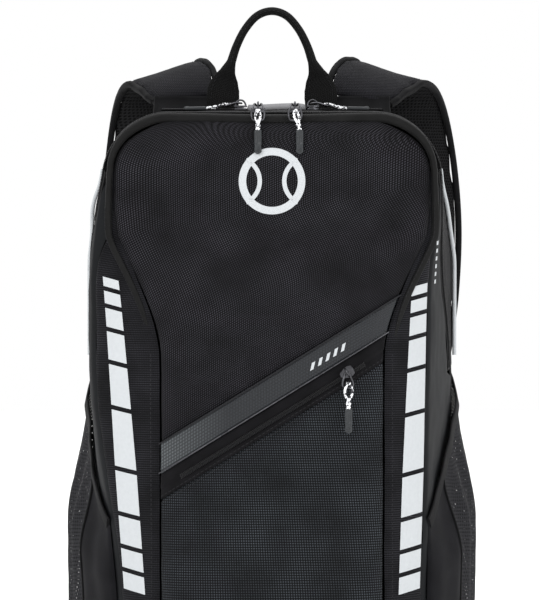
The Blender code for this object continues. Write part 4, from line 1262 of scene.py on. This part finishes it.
# Points of the pullers from their pivots: the bail's path, then the cord's path from the bail's end.
MAIN_BAIL = ((0.0006, 0.0), (-0.0045, 0.0010), (-0.0105, -0.0003), (-0.0150, -0.0040), (-0.0172, -0.0090),
             (-0.0176, -0.0128))
RACKET_BAIL = ((-0.0006, 0.0), (0.0040, 0.0002), (0.0080, -0.0010), (0.0115, -0.0022), (0.0130, -0.0026))
RACKET_CORD = ((-0.0045, 0.0016), (0.0010, 0.0016), (0.0060, 0.0), (0.0110, -0.0014), (0.0165, -0.0018))
POCKET_BAIL = ((0.0, 0.0006, 0.0), (0.0002, -0.0010, -0.0045), (0.0004, -0.0012, -0.0085),
               (0.0006, -0.0004, -0.0115))
POCKET_CORD = ((-0.0016, 0.0035), (-0.0014, -0.0040), (-0.0010, -0.0110), (-0.0006, -0.0175))
POCKET_SLIDER_X = 0.0590


def build_pulls():
    zip_y = lerp(Y_EDGE, Y_REAR, TOP_ZIP_SHARE)
    zip_z = lerp(EDGE_CONTOUR[3], REAR_CONTOUR[3], TOP_ZIP_SHARE) + 0.0004
    for x, tilt, end in ((-0.0112, 0.0, "left"), (0.0184, 0.0036, "right")):
        pivot = slider("main_slider_body_" + end, "main_slider_" + end, "main_slider_" + end,
                       Vector((x, zip_y, zip_z)), RIGHT, UP, True)
        path = [pivot + Vector((0, y, z)) for y, z in MAIN_BAIL]
        cord = [path[-1] + Vector((tilt * t, -0.0012 - 0.0012 * t, lerp(0.0080, -0.0085, t)))
                for t in np.linspace(0, 1, 6)]
        pull("main_pull_" + end, path, (0.0014, 0.0024, 0.0034, 0.0044, 0.0052, 0.0034), cord, 0.0019,
             Vector((0.0, -0.04, -1)).normalized(), RIGHT, FORWARD)
    for x, side, end in ((-0.0265, -1, "left"), (0.0345, 1, "right")):
        pivot = slider("racket_slider_body_" + end, "racket_slider_" + end, "racket_slider_" + end,
                       Vector((x, RACKET_ZIP_Y, RACKET_ZIP_Z)), Vector((-side, 0, 0)), UP, False)
        path = [pivot + Vector((a * side, 0, z)) for a, z in RACKET_BAIL]
        cord = [path[-1] + Vector((a * side, 0, z)) for a, z in RACKET_CORD]
        pull("racket_pull_" + end, path, (0.0014, 0.0026, 0.0038, 0.0046, 0.0030), cord, 0.0020,
             Vector((side, 0, -0.02)).normalized(), BACK, UP)
    foot = Vector((POCKET_SLIDER_X, POCKET_ZIP_Y, POCKET_ZIP_MIDDLE_Z + DIAGONAL_SLOPE * POCKET_SLIDER_X))
    pivot = slider("pocket_slider_body", "pocket_slider", "pocket_slider", foot, ALONG_POCKET, FORWARD, True)
    path = [pivot + Vector(p) for p in POCKET_BAIL]
    cord = [path[-1] + Vector((0.0004, y, z)) for y, z in POCKET_CORD]
    pull("pocket_pull", path, (0.0014, 0.0030, 0.0042, 0.0030), cord, 0.0029, DOWN, RIGHT, FORWARD)


build_zips()
build_pulls()


# ---------------------------------------------------------------- handle
def build_handle():
    """One webbing: flat ribbed leaf-shaped feet, folded into a round stitched grip."""
    y = Y_BACK - 0.003
    half = [(-0.0415, 0.4945, 0.0260), (-0.0418, 0.504, 0.0282), (-0.0412, 0.512, 0.0272),
            (-0.0396, 0.520, 0.0218), (-0.0376, 0.527, 0.0135), (-0.0345, 0.5355, 0.0078),
            (-0.0300, 0.549, 0.0070),
            (-0.0228, 0.563, 0.0068), (-0.0125, 0.5745, 0.0068), (0, 0.5785, 0.0068)]
    knots = half + [(-x, z, w) for x, z, w in half[-2::-1]]
    centres = smooth_line([Vector((x, y, z)) for x, z, _ in knots], 145)
    widths = np.interp(np.linspace(0, len(knots) - 1, 145), range(len(knots)), [w for _, _, w in knots])
    across = [way.cross(BACK).normalized() for way in tangents(centres)]

    def profile(i, _):
        width = widths[i]
        depth = lerp(0.0078, 0.0030, smooth(0.0075, 0.0230, width))
        return oval(width, depth, lerp(2.0, 4.0, smooth(0.010, 0.022, width)), 28)
    settle(sweep("webbing_handle", centres, across, [BACK] * 145, profile, WEBBING), "handle", "webbing",
           "haul_handle")
    rows = []
    for offset in (-0.36, 0.36):
        for first, last in ((6, 30), (114, 138)):
            line = [centres[i] + across[i] * widths[i] * offset - BACK * 0.0016 for i in range(first, last)]
            rows.append(stitches("row", line, [FORWARD] * len(line)))
    line = [c - BACK * 0.0037 for c in centres[38:107]]
    rows.append(stitches("row", line, [FORWARD] * len(line)))
    settle(join("handle_stitching", rows), "handle", "webbing")


# ---------------------------------------------------------------- shoulder straps
# Centres of a strap from its top end down, each with its lean and its thickness.
STRAP_ROUTE = (
    ((0.0730, 0.1085, 0.5020), 0.00, 0.0090), ((0.0755, 0.1125, 0.5105), 0.10, 0.0110),
    ((0.0820, 0.1200, 0.5195), 0.22, 0.0125), ((0.0920, 0.1320, 0.5265), 0.34, 0.0130),
    ((0.1040, 0.1510, 0.5270), 0.38, 0.0130), ((0.1160, 0.1720, 0.5110), 0.30, 0.0130),
    ((0.1260, 0.1890, 0.4800), 0.15, 0.0130), ((0.1330, 0.1985, 0.4380), 0.05, 0.0130),
    ((0.1360, 0.2030, 0.3900), 0.00, 0.0130), ((0.1330, 0.2000, 0.3350), 0.00, 0.0130),
    ((0.1260, 0.1890, 0.2800), 0.00, 0.0130), ((0.1180, 0.1740, 0.2350), 0.00, 0.0120),
    ((0.1130, 0.1640, 0.2100), 0.00, 0.0090))
STRAP_TOP_X, STRAP_WIDTH = 0.073, 0.064
STRAP_TAPER = (0.80, 0.90, 1.0, 1.0, 1.0, 1.0, 1.0, 1.0, 1.0, 1.0, 0.95, 0.78, 0.52)


def strap_x(side, x):
    """The left strap hangs closer to the bag than the right one."""
    return (STRAP_TOP_X + (x - STRAP_TOP_X) * (0.72 if side < 0 else 1.0)) * side


def strap_frames(side, count=121):
    """The strap's centres, and at each the directions across and inwards, the width and thickness."""
    knots = [Vector((strap_x(side, p[0]), p[1], p[2])) for p, _, _ in STRAP_ROUTE]
    centres = smooth_line(knots, count)
    at = np.linspace(0, len(knots) - 1, count)
    lean = np.interp(at, range(len(knots)), [k[1] for k in STRAP_ROUTE])
    thick = np.interp(at, range(len(knots)), [k[2] for k in STRAP_ROUTE])
    width = STRAP_WIDTH * np.interp(at, range(len(knots)), STRAP_TAPER)
    across, inner = [], []
    for way, slope in zip(tangents(centres), lean):
        wide = Vector((1, 0, -slope * side))
        wide = (wide - way * wide.dot(way)).normalized()
        across.append(wide)
        inner.append(way.cross(wide).normalized())
    return centres, across, inner, width, thick


def puff(obj, voxel, pressure, cap):
    """Inflates a closed cloth pad a little by simulation. No point moves further than cap."""
    add_modifier(obj, "REMESH", mode="VOXEL", voxel_size=voxel, use_smooth_shade=True)
    bake(obj)
    before = np.empty(len(obj.data.vertices) * 3, np.float32)
    obj.data.vertices.foreach_get("co", before)
    cloth = add_modifier(obj, "CLOTH")
    cloth.settings.quality = 5
    cloth.settings.use_pressure = True
    cloth.settings.uniform_pressure_force = pressure
    cloth.settings.effector_weights.gravity = 0.0
    cloth.settings.tension_stiffness = 25
    cloth.point_cache.frame_start, cloth.point_cache.frame_end = 1, 20
    for step in range(1, 21):
        bpy.context.scene.frame_set(step)
    bake(obj)
    bpy.context.scene.frame_set(1)
    after = np.empty_like(before)
    obj.data.vertices.foreach_get("co", after)
    before, after = before.reshape(-1, 3), after.reshape(-1, 3)
    move = after - before
    length = np.maximum(1e-9, np.linalg.norm(move, axis=1))[:, None]
    obj.data.vertices.foreach_set("co", (before + move * np.minimum(1, cap / length)).ravel())
    add_modifier(obj, "SMOOTH", factor=0.5, iterations=2)
    add_modifier(obj, "SUBSURF", levels=1)
    bake(obj)
    obj.data.shade_smooth()
    return obj


def two_sided(obj, centres, inner):
    """The strap's cloth outside, and mesh on the side towards the shoulder."""
    obj.data.materials.clear()
    for material in (STRAP_CLOTH, PAD_MESH):
        obj.data.materials.append(material)
    spine, facing = np.array(centres, float), np.array(inner, float)
    for face in obj.data.polygons:
        nearest = int(np.argmin(((spine - np.array(face.center)) ** 2).sum(axis=1)))
        face.material_index = 1 if float(np.dot(facing[nearest], np.array(face.normal))) > 0.45 else 0


def bvh_of(obj):
    bm = bmesh.new()
    bm.from_mesh(obj.data)
    tree = BVHTree.FromBMesh(bm)
    bm.free()
    return tree


def build_straps():
    for side, end in SIDES:
        body = "strap_" + end
        centres, across, inner, width, thick = strap_frames(side)

        def profile(i, t):
            end_round = math.sqrt(max(0.05, 1 - max(0.0, 1 - t / 0.02, (t - 0.985) / 0.015) ** 2))
            return oval(width[i] * 0.985, thick[i] * 0.80 * end_round, 2.7, 36)
        obj = sweep("padded_strap_" + end, centres, across, inner, profile, STRAP_CLOTH)
        puff(obj, 0.0040, 3.0, 0.0022)
        two_sided(obj, centres, inner)
        settle(obj, body, "plain_black", "shoulder_strap_" + end)
        trims = []
        for hand in (-1, 1):
            edge = [c + a * (w * 0.488 * hand) for c, a, w in zip(centres, across, width)]
            trims.append(sweep("edge", edge[1:-1], across[1:-1], inner[1:-1],
                               ribbon(0.0058, 0.0068, 3.0, 12), BINDING))
        settle(join("strap_binding_" + end, trims), body, "plain_black")
        rows, tree = [], bvh_of(obj)
        for hand in (-1, 1):
            line, outs = [], []
            for i in range(3, 117):
                start = centres[i] + across[i] * (width[i] * 0.39 * hand) - inner[i] * 0.02
                hit = tree.ray_cast(start, inner[i])[0]
                if hit is not None:
                    line.append(hit)
                    outs.append(-inner[i])
            rows.append(stitches("row", line, outs, length=0.0030, gap=0.0014, radius=0.00034))
        settle(join("strap_stitching_" + end, rows), body, "plain_black")
        build_strap_webbing(end, body, centres, across, inner)
        build_lower_end(side, end, body)


def build_strap_webbing(end, body, centres, across, inner):
    """A flat webbing down the middle of the strap's outside, bartacked into daisy loops."""
    first, last, loop_length = 56, 112, 14
    line, outs = [], []
    for i in range(first, last):
        loop = abs(math.sin((i - first) / loop_length * math.pi)) ** 6
        line.append(centres[i] - inner[i] * (0.0072 + 0.0004 * (1 - loop)))
        outs.append(-inner[i])
    strip = sweep("strip", line, across[first:last], outs, ribbon(0.0200, 0.0013, 5.0, 14), WEBBING)
    tacks = []
    for k in range(0, last - first, loop_length):
        i = min(k, last - first - 1)
        for step in (-0.0012, 0.0, 0.0012):
            way = tangents(line)[i]
            row = [line[i] + way * step + across[first + i] * (0.0088 * t) + outs[i] * 0.0008
                   for t in np.linspace(-1, 1, 12)]
            tacks.append(stitches("tack", row, [outs[i]] * 12, length=0.0022, gap=0.0003, radius=0.0003))
    settle(join("strap_webbing_" + end, [strip] + tacks), body, "webbing")


def lock_frame(side):
    """The ladder lock's place, and its directions up, across and out."""
    last = Vector((strap_x(side, 0.1130), 0.1640, 0.2100))
    lock = Vector((strap_x(side, 0.1108), 0.1578, 0.1905))
    lean = (last - lock).normalized()
    wide = RIGHT
    wide = (wide - lean * lean.x).normalized()
    return lock, lean, wide, wide.cross(lean).normalized()


def build_lower_end(side, end, body):
    """The ladder lock and the webbing that runs from the base, through it, and hangs down."""
    lock, lean, wide, normal = lock_frame(side)
    set_material(frame["nodes"]["ladder_lock_" + end], PLASTIC)
    anchor = Vector((0.119 * side, 0.108, 0.042))
    knots = [anchor, lerp(anchor, lock, 0.3) + Vector((0, 0.004, 0)),
             lerp(anchor, lock, 0.62) + Vector((0, 0.005, 0)),
             lock - lean * 0.020 - normal * 0.0034, lock - lean * 0.002 - normal * 0.0038,
             lock + lean * 0.0047 - normal * 0.0022, lock + lean * 0.0047 + normal * 0.0022,
             lock - lean * 0.002 + normal * 0.0040, lock - lean * 0.018 + normal * 0.0050,
             lock + Vector((0, 0.014, -0.055)), lock + Vector((0, 0.015, -0.085))]
    line = smooth_line(knots, 130)
    across = [(wide - way * wide.dot(way)).normalized() for way in tangents(line)]
    outs = [way.cross(a).normalized() for way, a in zip(tangents(line), across)]
    strip = sweep("strip", line, across, outs, ribbon(0.0250, 0.0017, 6.0, 18), WEBBING)
    tip = line[-1]
    fold = sweep("fold", [tip + Vector((0, 0, h)) for h in (0.0, 0.004, 0.009, 0.014)], [across[-1]] * 4,
                 [outs[-1]] * 4, ribbon(0.0252, 0.0038, 5.0, 18), WEBBING)
    row = [tip + Vector((0, 0, 0.011)) + across[-1] * (0.0105 * t) + outs[-1] * 0.0020
           for t in np.linspace(-1, 1, 14)]
    other = [p - outs[-1] * 0.0040 for p in row]
    stitch = [stitches("row", row, [outs[-1]] * 14), stitches("row", other, [-outs[-1]] * 14)]
    settle(join("adjuster_webbing_" + end, [strip, fold] + stitch), body, "webbing", "lower_webbing_" + end)
    holder_path = ((0.0280, 0.0022), (0.0150, 0.0034), (0.0088, 0.0030), (0.0046, 0.0024))
    tab_line = smooth_line([lock + lean * rise + normal * out for rise, out in holder_path], 20)
    outs = [way.cross(wide).normalized() for way in tangents(tab_line)]
    holder = ribbon(0.0240, 0.0015, 6.0, 14)
    settle(sweep("lock_holder_" + end, tab_line, [wide] * 20, outs, holder, WEBBING), body, "webbing")


def build_strap_roots():
    """The stitched flaps that hold each strap's two ends to the back."""
    for side, end in SIDES:
        def yoke(u, v):
            half = lerp(0.0310, 0.0285, smooth(0.4, 1.0, v))
            z = lerp(0.4245, 0.5075, v)
            y = BACK_FACE_Y + 0.0022 + 0.0016 * math.sin(math.pi * v) + 0.0095 * smooth(0.70, 1.0, v)
            return Vector((STRAP_TOP_X * side + lerp(-half, half, u), y, z))
        obj = cloth_panel("strap_yoke_flap_" + end, yoke, 31, 41, (0, 1, 0), BACK_CLOTH, tuck=(1, 1, 1, 0),
                          tuck_depth=0.0018, ripple=0.0004, seed=40.0 + side)
        add_modifier(obj, "SOLIDIFY", thickness=0.0022, offset=-1)
        settle(bake(obj), "bag", "plain_black", "strap_yoke_" + end)
        rows = []
        corners = [yoke(0.12, 0.10), yoke(0.88, 0.10), yoke(0.88, 0.62), yoke(0.12, 0.62)]
        for a, b in ((0, 1), (1, 2), (2, 3), (3, 0), (0, 2), (1, 3)):
            line = [lerp(corners[a], corners[b], t) + Vector((0, 0.0016, 0)) for t in np.linspace(0, 1, 16)]
            rows.append(stitches("row", line, [BACK] * 16))
        settle(join("yoke_stitching_" + end, rows), "bag", "plain_black")

        def wing(u, v):
            half = lerp(0.0120, 0.0210, 1 - v)
            x = 0.121 * side + lerp(-half, half, u) - side * 0.002 * v
            return Vector((x, BACK_FACE_Y + 0.0024 + 0.0068 * v * v, lerp(0.0125, 0.0480, v)))
        obj = cloth_panel("strap_wing_flap_" + end, wing, 25, 21, (0, 1, 0), BACK_CLOTH, tuck=(1, 1, 1, 0),
                          tuck_depth=0.0014, ripple=0.0003, seed=44.0 + side)
        add_modifier(obj, "SOLIDIFY", thickness=0.0022, offset=-1)
        settle(bake(obj), "bag", "plain_black", "strap_wing_" + end)


build_handle()
build_straps()
build_strap_roots()


# ---------------------------------------------------------------- the sides' soft bulge
# For each side: the front corner's bulge, the heights between which it rises and fades, and the rear
# seam's bulge.
BELLY = {"left": (0.0175, (0.080, 0.275), (0.340, 0.500), 0.0055),
         "right": (0.0070, (0.330, 0.410), (0.420, 0.490), 0.0025)}
BULGED = ("ribbed_facet", "facet_stitching", "coated_wall", "rear_shell", "racket_shell", "main_zip",
          "white_edge", "mesh_pocket", "stretch_panel", "pocket_rim", "pocket_seam")
REAR_SEAM_Z, REAR_SEAM_REACH = 0.412, 0.020


def belly(piece):
    """Carries a piece outwards where the bag's soft sides bulge: the front corners, and the rear
    seam at the shoulder. The left side bulges more than the right one."""
    co = np.empty(len(piece.data.vertices) * 3, np.float32)
    piece.data.vertices.foreach_get("co", co)
    co = co.reshape(-1, 3)
    for p in co:
        x, y, z = (float(c) for c in p)
        front, rise, fade, rear = BELLY["left" if x < 0 else "right"]
        inner, outer = front_half(z), half_width(EDGE_CONTOUR, z)
        at_front = (front * smooth(*rise, z) * (1 - smooth(*fade, z)) * (1 - smooth(-0.058, 0.035, y))
                    * smooth(inner + 0.001, outer + 0.001, abs(x)))
        at_rear = (rear * math.exp(-((z - REAR_SEAM_Z) / REAR_SEAM_REACH) ** 2) * smooth(-0.030, Y_REAR, y)
                   * (1 - smooth(Y_REAR, Y_BACK - 0.004, y)) * smooth(0.110, 0.130, abs(x)))
        p[0] = x + math.copysign(at_front + at_rear, x)
    piece.data.vertices.foreach_set("co", co.ravel())
    piece.data.update()


def widen_shoulders():
    """Carries the front panel's upper corners out to the band beside it."""
    for position in bpy.data.objects["upper_front"].data.vertices:
        x, _, z = position.co
        position.co.x = x + math.copysign(shoulder(z) * smooth(0.085, 0.120, abs(x)), x)


def bulge_sides():
    for piece in list(bpy.data.objects):
        if piece.name.startswith(BULGED) and piece.type == "MESH" and piece.name not in frame["nodes"]:
            belly(piece)


widen_shoulders()
bulge_sides()


# ---------------------------------------------------------------- prints
def print_on(name, strips, targets, proud=0.0004):
    """White ink laid on the front of targets. Each strip is a function from (u, v) to (x, z), with
    the size of its mesh."""
    trees = [bvh_of(target) for target in targets]
    points, faces = [], []
    for strip, columns, rows in strips:
        base = len(points)
        for v in np.linspace(0, 1, rows):
            for u in np.linspace(0, 1, columns):
                x, z = strip(u, v)
                hits = [tree.ray_cast(Vector((x, -0.3, z)), BACK) for tree in trees]
                hits = [hit for hit in hits if hit[0] is not None]
                hit = min(hits, key=lambda h: h[0].y) if hits else (Vector((x, Y_EDGE, z)), FORWARD)
                normal = hit[1] if hit[1].y < 0 else -hit[1]
                points.append(hit[0] + normal * proud)
        faces += [tuple(base + i for i in face) for face in grid_faces(columns, rows)]
    settle(to_mesh(name, points, faces, WHITE), "bag", "white")


def quad(corners):
    """A strip between four (x, z) corners: low left, low right, high right, high left."""
    a, b, c, d = [Vector((x, z)) for x, z in corners]
    return lambda u, v: a.lerp(b, u).lerp(d.lerp(c, u), v)


def band(centre, inner, outer, start, end):
    """A ring's part, from angle start to end in degrees."""
    def strip(u, v):
        angle, radius = math.radians(lerp(start, end, v)), lerp(inner, outer, u)
        return Vector((centre[0] + radius * math.cos(angle), centre[1] + radius * math.sin(angle)))
    return strip


BARS_LOW_Z = 0.1000
# The bars on each facet: where each starts and ends as a share of the column, from its top.
BARS = ((0.0, 0.030), (0.045, 0.085), (0.100, 0.160), (0.175, 0.265), (0.280, 0.410), (0.425, 0.605),
        (0.620, 0.750), (0.765, 0.855), (0.870, 0.930), (0.945, 1.0))


def build_prints():
    """A plain ball on the upper front, bars on the facets and rows of ticks."""
    front = bpy.data.objects["upper_front"]
    centre = (0.0, 0.4265)
    strips = [(band(centre, 0.0205, 0.0265, 0, 360), 4, 97)]
    for hand in (-1, 1):
        start, last = (115, 245) if hand > 0 else (-65, 65)
        strips.append((band((centre[0] + hand * 0.0285, centre[1]), 0.0170, 0.0205, start, last), 3, 33))
    print_on("ball_mark", strips, [front])
    for side, end in SIDES:
        targets = [bpy.data.objects["ribbed_facet_" + end], bpy.data.objects["coated_wall_" + end], front]
        top, low, z_top = (-0.1285, -0.1092, 0.3490) if side < 0 else (0.1175, 0.1090, 0.3440)
        strips = []

        def at(share, hand):
            half = lerp(0.0064, 0.0088, min(1.0, 1.6 * share))
            slant = hand * side * (0.0030 - 0.0012)
            return lerp(top, low, share ** 0.9) + hand * half, lerp(z_top, BARS_LOW_Z, share) + slant
        for first, last in BARS:
            strips.append((quad((at(last, -1), at(last, 1), at(first, 1), at(first, -1))), 9, 13))
        print_on("side_bars_" + end, strips, targets)
    strips = []
    for k in range(6):
        x, z = 0.1302 + k * 0.0003, 0.3450 + k * 0.0062
        tick = [(x, z), (x + 0.0016, z + 0.0006), (x + 0.0018, z + 0.0038), (x + 0.0002, z + 0.0032)]
        strips.append((quad(tick), 4, 5))
    print_on("side_ticks_right", strips,
             [bpy.data.objects["ribbed_facet_right"], bpy.data.objects["coated_wall_right"]])
    strips = []
    for k in range(5):
        x = 0.0300 + k * 0.0060
        z = diagonal_z((BAND_TOP_Z + BAND_LOW_Z) / 2, x / 0.0915)
        tick = [(x, z - 0.0030), (x + 0.0026, z - 0.0016), (x + 0.0040, z + 0.0046), (x + 0.0014, z + 0.0032)]
        strips.append((quad(tick), 4, 5))
    print_on("band_ticks", strips, [bpy.data.objects["emboss_band"]])


build_prints()
